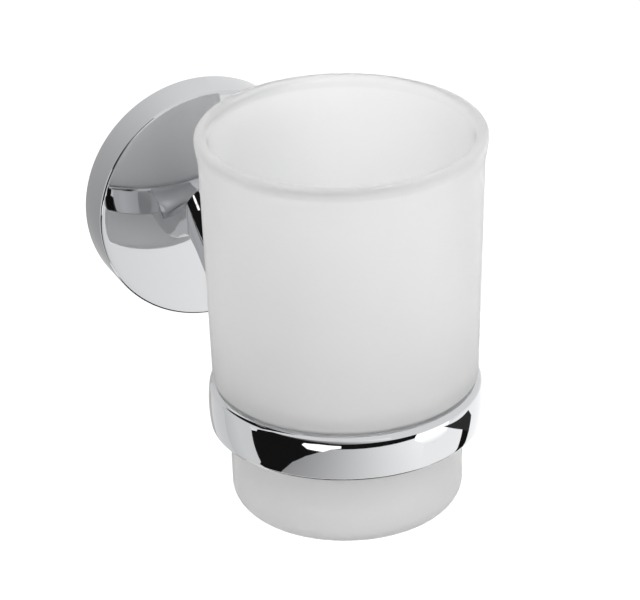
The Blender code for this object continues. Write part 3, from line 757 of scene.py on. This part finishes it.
# %% [markdown]
# ## Wall plugs
#
# Each screw bites into a moulded nylon plug: a collar in front, ribs that lean back so the plug
# can't slide out, and a slit so its end can spread.
# The plug is spun from its saw-tooth outline and slit with a Boolean. Plug and screw are made once
# at the middle of the bracket, and each copy is moved to its hole.

# %% Wall plug, and copies at both holes
PLUG_RADIUS = 3.6 * MM
PLUG_SET_BACK = 2.5 * MM
PLUG_LENGTH = 20.5 * MM
PLUG_COLLAR = 2.0 * MM
PLUG_RIB = 0.35 * MM
PLUG_RIB_PITCH = 3.0 * MM
PLUG_SLIT = 0.8 * MM
PLUG_EDGE = 0.1 * MM

plug_outline = [(WALL_SCREW_HOLE, 0.0), (PLUG_RADIUS, 0.0), (PLUG_RADIUS, PLUG_COLLAR)]
for i in range(int((PLUG_LENGTH - PLUG_COLLAR) / PLUG_RIB_PITCH)):
    rib = PLUG_COLLAR + i * PLUG_RIB_PITCH
    plug_outline.append((PLUG_RADIUS - PLUG_RIB, rib + PLUG_RIB))
    plug_outline.append((PLUG_RADIUS, rib + PLUG_RIB_PITCH))
plug_outline.append((PLUG_RADIUS - PLUG_RIB, PLUG_LENGTH))
plug_outline += [(WALL_SCREW_HOLE, PLUG_LENGTH), (WALL_SCREW_HOLE, 0.0)]
sunk_outline = [(r, -PLUG_SET_BACK - h) for r, h in plug_outline]
upper_wall_plug = spin_level("upper_wall_plug", sunk_outline, 0.0, SMALL_STEPS)
slit = add_block(
    (0.0, PLUG_SET_BACK + 2 * PLUG_COLLAR + PLUG_LENGTH / 2, 0.0),
    (PLUG_SLIT, PLUG_LENGTH, 2 * PLUG_RADIUS + OVERRUN),
)
combine(upper_wall_plug, slit, "DIFFERENCE")
bevel_sharp(upper_wall_plug, PLUG_EDGE, 60)


def copy_to(item, name, move):
    only(item)
    bpy.ops.object.duplicate(linked=False)
    twin = bpy.context.object
    twin.name = name
    twin.location = move
    put_at_origin(twin)


copy_to(upper_wall_plug, "lower_wall_plug", (0.0, 0.0, LOWER_Z))
copy_to(upper_wall_screw, "lower_wall_screw", (0.0, 0.0, LOWER_Z))
for item in (upper_wall_plug, upper_wall_screw):
    item.location = (0.0, 0.0, UPPER_Z)
    put_at_origin(item)
print("wall plug:", len(upper_wall_plug.data.polygons), "faces")

# %% [markdown]
# ## The grub screw
#
# A socket set screw that comes up through the boss under the rose. Its cone presses on the edge
# of the bracket, which narrows towards the wall, and so it locks the cover. It is spun with its
# cone, and the socket is cut with a bar of six sides.

# %% Grub screw under the rose
GRUB_END = -30.0 * MM
GRUB_TIP = -22.8 * MM
GRUB_CONE = 1.4 * MM
GRUB_TIP_RADIUS = 0.5 * MM
GRUB_SOCKET = 1.1 * MM
GRUB_SOCKET_DEPTH = 2.0 * MM
M4_CORE = 1.62 * MM
M4_PITCH = 0.7 * MM
HEX = 6

grub_shoulder = GRUB_TIP - GRUB_CONE
grub_section = [
    (0.0, GRUB_END),
    (M4_CORE, GRUB_END),
    (M4_CORE, grub_shoulder),
    (GRUB_TIP_RADIUS, GRUB_TIP),
    (0.0, GRUB_TIP),
]
grub_screw = spin_upright("socket_grub_screw", grub_section, -GRUB_OUT, 0.0, SMALL_STEPS)
reach = (GRUB_END - OVERRUN, GRUB_END + GRUB_SOCKET_DEPTH)
socket = add_bar(GRUB_SOCKET, *reach, (0.0, -GRUB_OUT), STANDING, HEX)
combine(grub_screw, socket, "DIFFERENCE")
smooth(grub_screw)
grub_axis = (0.0, -GRUB_OUT, 0.0)
grub_thread = add_thread(M4_CORE, GRUB_RADIUS, M4_PITCH, GRUB_END, grub_shoulder, "Z", grub_axis)
fasten(grub_screw, grub_thread)
print("grub screw:", len(grub_screw.data.polygons), "faces")

# %% [markdown]
# ## Screws and pin that hold the arm
#
# A cap screw with a washer pulls the arm's root against the cover from inside, and a pin keeps the
# arm from turning. A countersunk screw holds the ring on the arm's end. It can be seen in the
# ring's bore once the tumbler is lifted out.
# Their heads and tips have a small chamfer in the outline, which a turned piece gets on the lathe.

# %% Cap screw, washer and pin
CHAMFER = 0.35 * MM
WASHER_RADIUS = 5.0 * MM
WASHER_THICKNESS = 1.0 * MM
WASHER_FRONT = ROSE_FRONT - ROSE_WALL - FIT_GAP
WASHER_BACK = WASHER_FRONT - WASHER_THICKNESS
CAP_RADIUS = 4.25 * MM
CAP_HEIGHT = 3.1 * MM
CAP_FRONT = WASHER_BACK - FIT_GAP
CAP_BACK = CAP_FRONT - CAP_HEIGHT
CAP_SOCKET = 2.0 * MM
CAP_SOCKET_DEPTH = 1.8 * MM
CAP_TIP = ROSE_FRONT + FIT_GAP + ARM_SCREW_ENGAGED
M5_CORE = 2.05 * MM
M5_PITCH = 0.8 * MM

cap_section = [
    (0.0, CAP_BACK),
    (CAP_RADIUS - CHAMFER, CAP_BACK),
    (CAP_RADIUS, CAP_BACK + CHAMFER),
    (CAP_RADIUS, CAP_FRONT),
    (M5_CORE, CAP_FRONT),
    (M5_CORE, CAP_TIP - CHAMFER),
    (M5_CORE - CHAMFER, CAP_TIP),
    (0.0, CAP_TIP),
]
cap_screw = spin_level("cap_screw", cap_section, ARM_SCREW_Z, SMALL_STEPS)
reach = (CAP_BACK - OVERRUN, CAP_BACK + CAP_SOCKET_DEPTH)
socket = add_bar(CAP_SOCKET, *reach, (0.0, ARM_SCREW_Z), sides=HEX)
combine(cap_screw, socket, "DIFFERENCE")
smooth(cap_screw)
arm_axis = (0.0, 0.0, ARM_SCREW_Z)
cap_thread = add_thread(M5_CORE, ARM_SCREW_RADIUS, M5_PITCH, -CAP_TIP, -CAP_FRONT, "Y", arm_axis)
fasten(cap_screw, cap_thread)

washer_section = [
    (ARM_SCREW_HOLE, WASHER_BACK),
    (WASHER_RADIUS - CHAMFER, WASHER_BACK),
    (WASHER_RADIUS, WASHER_BACK + CHAMFER),
    (WASHER_RADIUS, WASHER_FRONT),
    (ARM_SCREW_HOLE, WASHER_FRONT),
    (ARM_SCREW_HOLE, WASHER_BACK),
]
spin_level("flat_washer", washer_section, ARM_SCREW_Z, SMALL_STEPS)
pin_back, pin_front = ROSE_FRONT - PIN_IN_COVER, ROSE_FRONT + FIT_GAP + PIN_IN_ARM
pin_section = [
    (0.0, pin_back),
    (PIN_RADIUS - CHAMFER, pin_back),
    (PIN_RADIUS, pin_back + CHAMFER),
    (PIN_RADIUS, pin_front - CHAMFER),
    (PIN_RADIUS - CHAMFER, pin_front),
    (0.0, pin_front),
]
spin_level("dowel_pin", pin_section, PIN_Z, SMALL_STEPS)
print("cap screw:", len(cap_screw.data.polygons), "faces")

# %% Countersunk screw in the ring's bore
RING_SOCKET = 1.25 * MM
RING_SOCKET_DEPTH = 1.2 * MM
ring_tip = RING_SCREW_FACE - RING_SCREW_LENGTH
head_back = RING_SCREW_FACE - RING_HEAD_DEPTH
ring_screw_section = [
    (0.0, ring_tip),
    (M4_CORE - CHAMFER, ring_tip),
    (M4_CORE, ring_tip + CHAMFER),
    (M4_CORE, head_back - M4_PITCH),
    (RING_SCREW_RADIUS, head_back),
    (RING_HEAD_RADIUS, RING_SCREW_FACE - CHAMFER / 2),
    (RING_HEAD_RADIUS, RING_SCREW_FACE),
    (0.0, RING_SCREW_FACE),
]
countersunk_screw = spin_level("countersunk_screw", ring_screw_section, -RING_DROP, SMALL_STEPS)
reach = (RING_SCREW_FACE - RING_SOCKET_DEPTH, RING_SCREW_FACE + OVERRUN)
socket = add_bar(RING_SOCKET, *reach, (0.0, -RING_DROP), sides=HEX)
combine(countersunk_screw, socket, "DIFFERENCE")
smooth(countersunk_screw)
ring_axis = (0.0, 0.0, -RING_DROP)
ring_thread = add_thread(
    M4_CORE, RING_SCREW_RADIUS, M4_PITCH, -head_back, -ring_tip, "Y", ring_axis
)
fasten(countersunk_screw, ring_thread)
print("countersunk screw:", len(countersunk_screw.data.polygons), "faces")

# %% [markdown]
# ## What each piece stands for
#
# Every piece moves with a body of the CAD model and hides the CAD node that it stands for. The
# holder is fixed, and the tumbler is the only piece that lifts out.

# %% Riding and replacing
stands_for = {
    "rose_shell": ("rose_cover", "chrome"),
    "curved_arm": ("arm", "chrome"),
    "ring_band": ("ring", "chrome"),
    "bracket_disc": ("wall_bracket", "zinc"),
    "upper_wall_screw": ("wall_screw_upper", "steel"),
    "lower_wall_screw": ("wall_screw_lower", "steel"),
    "upper_wall_plug": ("wall_plug_upper", "nylon"),
    "lower_wall_plug": ("wall_plug_lower", "nylon"),
    "socket_grub_screw": ("grub_screw", "steel"),
    "cap_screw": ("arm_screw", "steel"),
    "flat_washer": ("arm_washer", "steel"),
    "dowel_pin": ("locating_pin", "steel"),
    "countersunk_screw": ("ring_screw", "steel"),
    "satin_tumbler": ("tumbler", "satin_glass"),
}
for name, (node, slot_name) in stands_for.items():
    item = bpy.data.objects[name]
    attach(item, "glass" if node == "tumbler" else "holder")
    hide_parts(node)
print(len(stands_for), "pieces stand for", len(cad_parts), "nodes")

# %% [markdown]
# ## Colours and nodes
#
# Colours are written as on a screen, in hex, and Blender's shaders want linear light, so one
# function converts them. One more adds a node with its settings and links, which keeps each
# material readable as a short list. A mix node has several sockets of one name, so its colour
# sockets are found by number.

# %% Material helpers
COLOUR_A, COLOUR_B, COLOUR_OUT = 6, 7, 2


def linear(hex_colour):
    screen = [int(hex_colour[i : i + 2], 16) / 255 for i in (1, 3, 5)]
    light = [c / 12.92 if c <= 0.04045 else ((c + 0.055) / 1.055) ** 2.4 for c in screen]
    return (*light, 1.0)


def add_node(tree, kind, settings, links=None):
    """Adds a node, sets its properties and sockets, and links other nodes' outputs to it."""
    node = tree.nodes.new(kind)
    for key, value in settings.items():
        if key in node.inputs:
            node.inputs[key].default_value = value
        else:
            setattr(node, key, value)
    for key, source in (links or {}).items():
        tree.links.new(source, node.inputs[key])
    return node


def new_material(name, colour, metallic, roughness):
    material = bpy.data.materials.new(name)
    material.use_nodes = True
    tree = material.node_tree
    shader = tree.nodes["Principled BSDF"]
    shader.inputs["Base Color"].default_value = linear(colour)
    shader.inputs["Metallic"].default_value = metallic
    shader.inputs["Roughness"].default_value = roughness
    place = add_node(tree, "ShaderNodeTexCoord", {}).outputs["Object"]
    return material, tree, shader, place


def coat(material, *names):
    for name in names:
        slots = bpy.data.objects[name].data.materials
        slots.clear()
        slots.append(material)
    print(material.name, "on", *names)

# %% [markdown]
# ## Bright chrome plate
#
# Chrome over nickel on a polished casting. It is a neutral mirror, and the eye knows it by hard
# black and white reflections. A perfect mirror looks computed, so the polish varies a little and
# the surface has the very slight waviness that a buffing wheel leaves.

# %% Chrome
chrome, tree, shader, place = new_material("bright_chrome_plate", "#CDCED0", 1.0, 0.03)
POLISH_MARKS = 5.0 * MM
BUFFING_WAVES = 14.0 * MM
haze = add_node(
    tree, "ShaderNodeTexNoise", {"Scale": 1 / POLISH_MARKS, "Detail": 4.0}, {"Vector": place}
)
rough = add_node(
    tree, "ShaderNodeMapRange", {"To Min": 0.015, "To Max": 0.045}, {"Value": haze.outputs["Fac"]}
)
tree.links.new(rough.outputs["Result"], shader.inputs["Roughness"])
waves = add_node(
    tree, "ShaderNodeTexNoise", {"Scale": 1 / BUFFING_WAVES, "Detail": 1.0}, {"Vector": place}
)
bump = add_node(
    tree,
    "ShaderNodeBump",
    {"Strength": 0.3, "Distance": 0.02 * MM},
    {"Height": waves.outputs["Fac"]},
)
tree.links.new(bump.outputs["Normal"], shader.inputs["Normal"])
coat(chrome, "rose_shell", "curved_arm", "ring_band")

# %% [markdown]
# ## Satin-etched glass
#
# Clear glass, dipped in acid after pressing. The etching scatters the light, so the glass glows
# white and shows only soft shades where it is thick, and nothing can be seen through it.
# It is modelled as rough glass with some diffuse white in it, which stands for the many
# scatterings between its two etched faces that a single rough face doesn't give. The rim was
# melted round by a flame and is smoother, so it shows as a narrow, slightly darker band. Towards
# the bottom the white is painted a shade darker: partly painted shade on the lower glass by the
# ring, partly the thick foot, which takes a little more of the light.

# %% Satin glass
satin_glass, tree, shader, place = new_material("satin_etched_glass", "#FAFAFA", 0.0, 0.55)
shader.inputs["IOR"].default_value = 1.5
ETCH_GRAIN = 0.35 * MM
RIM_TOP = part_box("tumbler")[1].z
POLISHED = 3.0 * MM
FADE = POLISHED / 5
grain = add_node(
    tree, "ShaderNodeTexNoise", {"Scale": 1 / ETCH_GRAIN, "Detail": 2.0}, {"Vector": place}
)
etched = add_node(
    tree, "ShaderNodeMapRange", {"To Min": 0.48, "To Max": 0.62}, {"Value": grain.outputs["Fac"]}
)
height = add_node(tree, "ShaderNodeSeparateXYZ", {}, {"Vector": place}).outputs["Z"]
rim_band = {"From Min": RIM_TOP - POLISHED, "From Max": RIM_TOP - POLISHED + FADE}
rough = add_node(tree, "ShaderNodeMapRange", {**rim_band, "To Max": 0.3}, {"Value": height})
tree.links.new(etched.outputs["Result"], rough.inputs["To Min"])
tree.links.new(rough.outputs["Result"], shader.inputs["Roughness"])
clear = add_node(
    tree, "ShaderNodeMapRange", {**rim_band, "To Min": 0.65, "To Max": 0.85}, {"Value": height}
)
tree.links.new(clear.outputs["Result"], shader.inputs["Transmission Weight"])
# Painted shade, partly the thick foot: the glass's white darkens from 12 mm above the rose's centre
# height down to 12 mm below it, and stays darker over the foot.
DARKER_BELOW, LIGHTER_ABOVE = -12.0 * MM, 12.0 * MM
shade_and_foot_fade = add_node(
    tree, "ShaderNodeMapRange", {"From Min": DARKER_BELOW, "From Max": LIGHTER_ABOVE}, {"Value": height}
)
# The darker white below is painted shade on the glass by the ring, and in part the thick foot.
body = add_node(tree, "ShaderNodeMix", {"data_type": "RGBA"}, {"Factor": shade_and_foot_fade.outputs["Result"]})
body.inputs[COLOUR_A].default_value = linear("#EDEDED")
body.inputs[COLOUR_B].default_value = linear("#F8F8F8")
rim = add_node(tree, "ShaderNodeMapRange", rim_band, {"Value": height})
edge = add_node(tree, "ShaderNodeMix", {"data_type": "RGBA"}, {"Factor": rim.outputs["Result"]})
tree.links.new(body.outputs[COLOUR_OUT], edge.inputs[COLOUR_A])
edge.inputs[COLOUR_B].default_value = linear("#EFEFEF")
tree.links.new(edge.outputs[COLOUR_OUT], shader.inputs["Base Color"])
coat(satin_glass, "satin_tumbler")

# %% [markdown]
# ## Zinc, steel and nylon
#
# The bracket is a bare zinc die casting: dull grey, with the fine mottling that a die leaves. The
# screws, washer and pin are zinc-plated steel, brighter and a little blue. The plugs are moulded
# nylon, which is matt with a soft sheen.

# %% Bare zinc casting
zinc, tree, shader, place = new_material("bare_zinc_casting", "#A6A8AB", 1.0, 0.42)
DIE_MOTTLE = 0.8 * MM
mottle = add_node(
    tree, "ShaderNodeTexNoise", {"Scale": 1 / DIE_MOTTLE, "Detail": 5.0}, {"Vector": place}
)
rough = add_node(
    tree, "ShaderNodeMapRange", {"To Min": 0.34, "To Max": 0.56}, {"Value": mottle.outputs["Fac"]}
)
tree.links.new(rough.outputs["Result"], shader.inputs["Roughness"])
bump = add_node(
    tree,
    "ShaderNodeBump",
    {"Strength": 0.4, "Distance": 0.03 * MM},
    {"Height": mottle.outputs["Fac"]},
)
tree.links.new(bump.outputs["Normal"], shader.inputs["Normal"])
coat(zinc, "bracket_disc")

# %% Zinc-plated steel
steel, tree, shader, place = new_material("zinc_plated_steel", "#C3C7CC", 1.0, 0.28)
PLATING_CLOUDS = 1.5 * MM
clouds = add_node(
    tree, "ShaderNodeTexNoise", {"Scale": 1 / PLATING_CLOUDS, "Detail": 3.0}, {"Vector": place}
)
tint = add_node(tree, "ShaderNodeMix", {"data_type": "RGBA"}, {"Factor": clouds.outputs["Fac"]})
tint.inputs[COLOUR_A].default_value = linear("#B9C0C8")
tint.inputs[COLOUR_B].default_value = linear("#CFCEC6")
tree.links.new(tint.outputs[COLOUR_OUT], shader.inputs["Base Color"])
rough = add_node(
    tree, "ShaderNodeMapRange", {"To Min": 0.2, "To Max": 0.36}, {"Value": clouds.outputs["Fac"]}
)
tree.links.new(rough.outputs["Result"], shader.inputs["Roughness"])
coat(
    steel,
    "upper_wall_screw",
    "lower_wall_screw",
    "socket_grub_screw",
    "cap_screw",
    "flat_washer",
    "dowel_pin",
    "countersunk_screw",
)

# %% Moulded nylon
nylon, tree, shader, place = new_material("moulded_nylon", "#8F9193", 0.0, 0.55)
MOULD_GRAIN = 0.5 * MM
grain = add_node(
    tree, "ShaderNodeTexNoise", {"Scale": 1 / MOULD_GRAIN, "Detail": 3.0}, {"Vector": place}
)
bump = add_node(
    tree,
    "ShaderNodeBump",
    {"Strength": 0.3, "Distance": 0.02 * MM},
    {"Height": grain.outputs["Fac"]},
)
tree.links.new(bump.outputs["Normal"], shader.inputs["Normal"])
rough = add_node(
    tree, "ShaderNodeMapRange", {"To Min": 0.45, "To Max": 0.65}, {"Value": grain.outputs["Fac"]}
)
tree.links.new(rough.outputs["Result"], shader.inputs["Roughness"])
coat(nylon, "upper_wall_plug", "lower_wall_plug")

# %% [markdown]
# ## Camera
#
# A long lens a metre away, looking from the left and from above. These figures come from fitting
# the photograph's circles: the rose, the rim, the ring and the base.

# %% Camera
AZIMUTH, ELEVATION, ROLL = math.radians(-23.2), math.radians(26.42), math.radians(-1.22)
CAMERA_AWAY = 1.0
CAMERA_RIGHT = 31.17 * MM
CAMERA_DOWN = 28.56 * MM
LENS = 220.5
SENSOR = 36.0

back = Vector(
    (
        math.sin(AZIMUTH) * math.cos(ELEVATION),
        -math.cos(AZIMUTH) * math.cos(ELEVATION),
        math.sin(ELEVATION),
    )
)
level = Vector((math.cos(AZIMUTH), math.sin(AZIMUTH), 0.0))
steep = back.cross(level)
right = level * math.cos(ROLL) + steep * math.sin(ROLL)
up = steep * math.cos(ROLL) - level * math.sin(ROLL)
deselect_all()
bpy.ops.object.camera_add(location=back * CAMERA_AWAY + right * CAMERA_RIGHT - up * CAMERA_DOWN)
camera = bpy.context.object
camera.rotation_euler = Matrix((right, up, back)).transposed().to_euler()
camera.data.lens = LENS
camera.data.sensor_width = SENSOR
camera.data.clip_start = 0.01
camera.data.clip_end = 50.0
bpy.context.scene.camera = camera
bpy.context.scene.view_settings.view_transform = "Standard"
print("camera at", [round(v, 3) for v in camera.location])

# %% [markdown]
# ## Floor and background
#
# The photograph has a plain white ground. The floor is pale paint well below the object, so that
# it only gets a faint shadow. It and the world are lifted to white for the camera and for the
# rays that metal mirrors or glass lets through. The light that falls on the object is a soft one.
# It is strongest from above in front and weakest from behind, as with one big window.

# %% Floor and world
WHITE = (1.0, 1.0, 1.0, 1.0)
FLOOR_BELOW = -0.60
FLOOR_SIZE = 12.0
FLOOR_LIFT = 0.52
LIGHT_FROM = Vector((0.05, -0.70, 0.70)).normalized()
LIGHT_BEHIND, LIGHT_AHEAD = 0.60, 1.15
SEEN_RAYS = ("Is Camera Ray", "Is Glossy Ray", "Is Transmission Ray")


def any_ray(tree, *kinds):
    """1 for a ray of one of these kinds, otherwise 0."""
    rays = add_node(tree, "ShaderNodeLightPath", {})
    chosen = rays.outputs[kinds[0]]
    for kind in kinds[1:]:
        larger = add_node(tree, "ShaderNodeMath", {"operation": "MAXIMUM"})
        tree.links.new(chosen, larger.inputs[0])
        tree.links.new(rays.outputs[kind], larger.inputs[1])
        chosen = larger.outputs["Value"]
    return chosen


deselect_all()
bpy.ops.mesh.primitive_plane_add(size=FLOOR_SIZE, location=(0.0, 0.0, FLOOR_BELOW))
floor = bpy.context.object
floor.name = "floor"
put_at_origin(floor)
paint, tree, shader, _ = new_material("matt_white_floor_paint", "#C8C8C8", 0.0, 1.0)
shader.inputs["Specular IOR Level"].default_value = 0.0
shader.inputs["Emission Color"].default_value = WHITE
lift = add_node(
    tree,
    "ShaderNodeMapRange",
    {"To Max": FLOOR_LIFT},
    {"Value": any_ray(tree, *SEEN_RAYS)},
)
tree.links.new(lift.outputs["Result"], shader.inputs["Emission Strength"])
floor.data.materials.append(paint)

world = bpy.data.worlds.new("studio")
bpy.context.scene.world = world
world.use_nodes = True
tree = world.node_tree
sky = add_node(tree, "ShaderNodeTexCoord", {}).outputs["Generated"]
facing = add_node(tree, "ShaderNodeVectorMath", {"operation": "DOT_PRODUCT"})
tree.links.new(sky, facing.inputs[0])
facing.inputs[1].default_value = LIGHT_FROM
soft = add_node(
    tree,
    "ShaderNodeMapRange",
    {"From Min": -1.0, "From Max": 1.0, "To Min": LIGHT_BEHIND, "To Max": LIGHT_AHEAD},
    {"Value": facing.outputs["Value"]},
)
strength = add_node(
    tree,
    "ShaderNodeMapRange",
    {"To Max": 1.0},
    {"Value": any_ray(tree, *SEEN_RAYS), "To Min": soft.outputs["Result"]},
)
tree.nodes["Background"].inputs["Color"].default_value = WHITE
tree.links.new(strength.outputs["Result"], tree.nodes["Background"].inputs["Strength"])
print("floor", -FLOOR_BELOW, "m below, light", LIGHT_BEHIND, "behind and", LIGHT_AHEAD, "in front")

# %% [markdown]
# ## Cards around the object
#
# Chrome in a plain white room would be plain white. A photographer hangs dark and grey cards
# around it, and their reflections draw its form. Each card here is a sheet, placed by the
# directions in which it is seen from the ring. A card can fade from one tone to another, as a
# sheet does that is lit from one end. Only reflections see the cards, so they neither shade the
# object nor stand in another camera's view.

# %% Card helpers
CARD_AWAY = 0.8
LOOK_FROM = Vector(RING_CENTRE)


def toward(azimuth, elevation, away=CARD_AWAY):
    """A point seen from the ring. Azimuth 0 is straight out from the wall, and -90 is left."""
    a, e = math.radians(azimuth), math.radians(elevation)
    direction = Vector((math.sin(a) * math.cos(e), -math.cos(a) * math.cos(e), math.sin(e)))
    return LOOK_FROM + away * direction


def light_card(card, tone, fade):
    """Gives a card one tone. With fade = (start, end, last tone) it changes between them."""
    bpy.ops.object.mode_set(mode="OBJECT")
    material, tree, shader, place = new_material(card.name, "#000000", 0.0, 1.0)
    shader.inputs["Specular IOR Level"].default_value = 0.0
    shader.inputs["Emission Color"].default_value = WHITE
    shader.inputs["Emission Strength"].default_value = tone
    if fade:
        start, end, last_tone = toward(*fade[0]), toward(*fade[1]), fade[2]
        run = (end - start).normalized()
        along_run = add_node(tree, "ShaderNodeVectorMath", {"operation": "DOT_PRODUCT"})
        tree.links.new(place, along_run.inputs[0])
        along_run.inputs[1].default_value = run
        span = {"From Min": start.dot(run), "From Max": end.dot(run)}
        glow = add_node(
            tree,
            "ShaderNodeMapRange",
            {**span, "To Min": tone, "To Max": last_tone},
            {"Value": along_run.outputs["Value"]},
        )
        tree.links.new(glow.outputs["Result"], shader.inputs["Emission Strength"])
    card.data.materials.append(material)
    for kind in ("camera", "diffuse", "transmission", "volume_scatter", "shadow"):
        setattr(card, "visible_" + kind, False)
    print(card.name, "has tone", tone)


def hang_card(name, corners, tone, away=CARD_AWAY, fade=None):
    """A flat card with its corners in these directions."""
    card = draw_face(name, [toward(*corner, away) for corner in corners])
    light_card(card, tone, fade)


def hang_screen(name, left, right, low, high, tone, away=CARD_AWAY, fade=None):
    """A screen that curves round the object, between two azimuths and two elevations."""
    steps = math.ceil((right - left) / 10)
    corners = [toward(left + (right - left) * i / steps, low, away) for i in range(steps + 1)]
    card = draw_outline(name, corners)
    bpy.ops.mesh.select_all(action="SELECT")
    rise = toward(0, high, away).z - toward(0, low, away).z
    bpy.ops.mesh.extrude_region_move(TRANSFORM_OT_translate={"value": (0.0, 0.0, rise)})
    wider = math.cos(math.radians(high)) / math.cos(math.radians(low))
    bpy.ops.transform.resize(value=(wider, wider, 1.0), center_override=LOOK_FROM)
    light_card(card, tone, fade)

# %% Screens that curve round the object
# BRIGHT is a glow above white, used for the painted highlights in the chrome.
BLACK, DARK, GREY, WHITE_CARD, BRIGHT = 0.01, 0.04, 0.44, 1.2, 2.0

hang_screen("floor_screen", -107, 42, -58, -17, 0.40, fade=((-70, -34), (42, -34), 1.35))
hang_screen("white_screen_right", 42, 158, -52, -17, 1.3)
hang_screen("back_left_screen", -202, -144, -50, 36, GREY, fade=((-160, -10), (-200, 22), 1.0))
hang_screen("left_screen", -144, -105, -50, 36, 0.7, fade=((-144, -26), (-124, -26), 0.9))
hang_screen("front_screen", -90, 12, -17, 32, DARK, fade=((-38, -4), (0, 24), WHITE_CARD))
hang_screen("black_streak", -42, 33, -17, -9, BLACK, 0.72)

# %% Cards of their own shapes
hang_card(
    "black_card_left",
    [(-99, -14), (-106, -17), (-110, -22), (-112, -30), (-110, -38), (-104, -47)]
    + [(-92, -48), (-84, -41), (-70, -32), (-57, -25), (-45, -20), (-36, -16)]
    + [(-38, 0), (-55, 8), (-78, 22), (-86, 32), (-96, 10)],
    BLACK,
    0.70,
)
hang_card("black_card_right", [(60, -18), (94, -21), (101, -25), (102, -31), (89, -28)], DARK, 0.70)
hang_card(
    "black_card_right_low",
    [(88, -27), (102, -30), (104, -42), (112, -54), (92, -58), (76, -54), (92, -44)],
    BLACK,
    0.71,
)
hang_card("black_card_under", [(azimuth, -58) for azimuth in range(-180, 180, 45)], BLACK, 0.62)
# The two bright cards glow though they are no lamps: painted highlights, seen only in the chrome.
hang_card(
    "bright_card_left",
    [(-59, -15.5), (-55, -18.5), (-42, -19.5), (-36, -17)]
    + [(-28, -16), (-28, -13), (-45, -11), (-57, -12)],
    BRIGHT,
    0.6,
)
hang_card(
    "bright_card_right",
    [(32, -19), (32, -12), (66, -12), (65, -22), (52, -26), (40, -23)],
    BRIGHT,
    0.72,
    fade=((48, -18), (48, -25), 1.22),
)

# %% [markdown]
# A card far away is mirrored by every chromed piece in about the same way. These three hang close
# by, so each is seen in one piece only: a black one and a bright strip in the arm, and a pale one
# in the ring's left end. Their corners are places, and not directions.

# %% Small cards beside the arm and behind the ring
NEAR_LEFT = -128.0 * MM
STRIP_LEFT = -126.0 * MM
BEHIND_RING = -60.0 * MM
PALE = 0.84


def hang_near(name, corners, tone):
    light_card(draw_face(name, corners), tone, None)


def in_metres(*pairs):
    return [(a * MM, b * MM) for a, b in pairs]


beside_arm = in_metres((-90, 45), (35, 45), (35, 270), (-90, 270))
hang_near("black_card_near_arm", [(NEAR_LEFT, y, z) for y, z in beside_arm], BLACK)
# This bright strip glows and paints the glint on the arm's crown next to the rose.
strip = in_metres((-35, 124), (-29, 124), (-37, 150), (-46, 150))
hang_near("bright_card_near_arm", [(STRIP_LEFT, y, z) for y, z in strip], BRIGHT)
behind_ring = in_metres((-58, -60), (-33, -60), (-33, 10), (-58, 10))
hang_near("pale_card_behind_ring", [(x, BEHIND_RING, z) for x, z in behind_ring], PALE)

# %% [markdown]
# ## The lamp
#
# One large soft lamp hangs in front, a little to the right. It lights the inside of the glass and
# leaves the left side a little darker. The white world does the rest. Chrome shows the cards and
# not the lamp, because the bright card's soft lower edge is what the photograph shows.

# %% Soft lamp in front
LAMP_AWAY = 0.9
LAMP_SIZE = 0.42
LAMP_WATTS = 2.0

deselect_all()
bpy.ops.object.light_add(type="AREA", location=toward(5, 38, LAMP_AWAY))
lamp = bpy.context.object
lamp.name = "soft_lamp_front"
lamp.rotation_euler = (lamp.location - LOOK_FROM).to_track_quat("Z", "Y").to_euler()
lamp.data.shape = "RECTANGLE"
lamp.data.size = lamp.data.size_y = LAMP_SIZE
lamp.data.energy = LAMP_WATTS
lamp.visible_glossy = False
print("lamp at", [round(v, 3) for v in lamp.location])
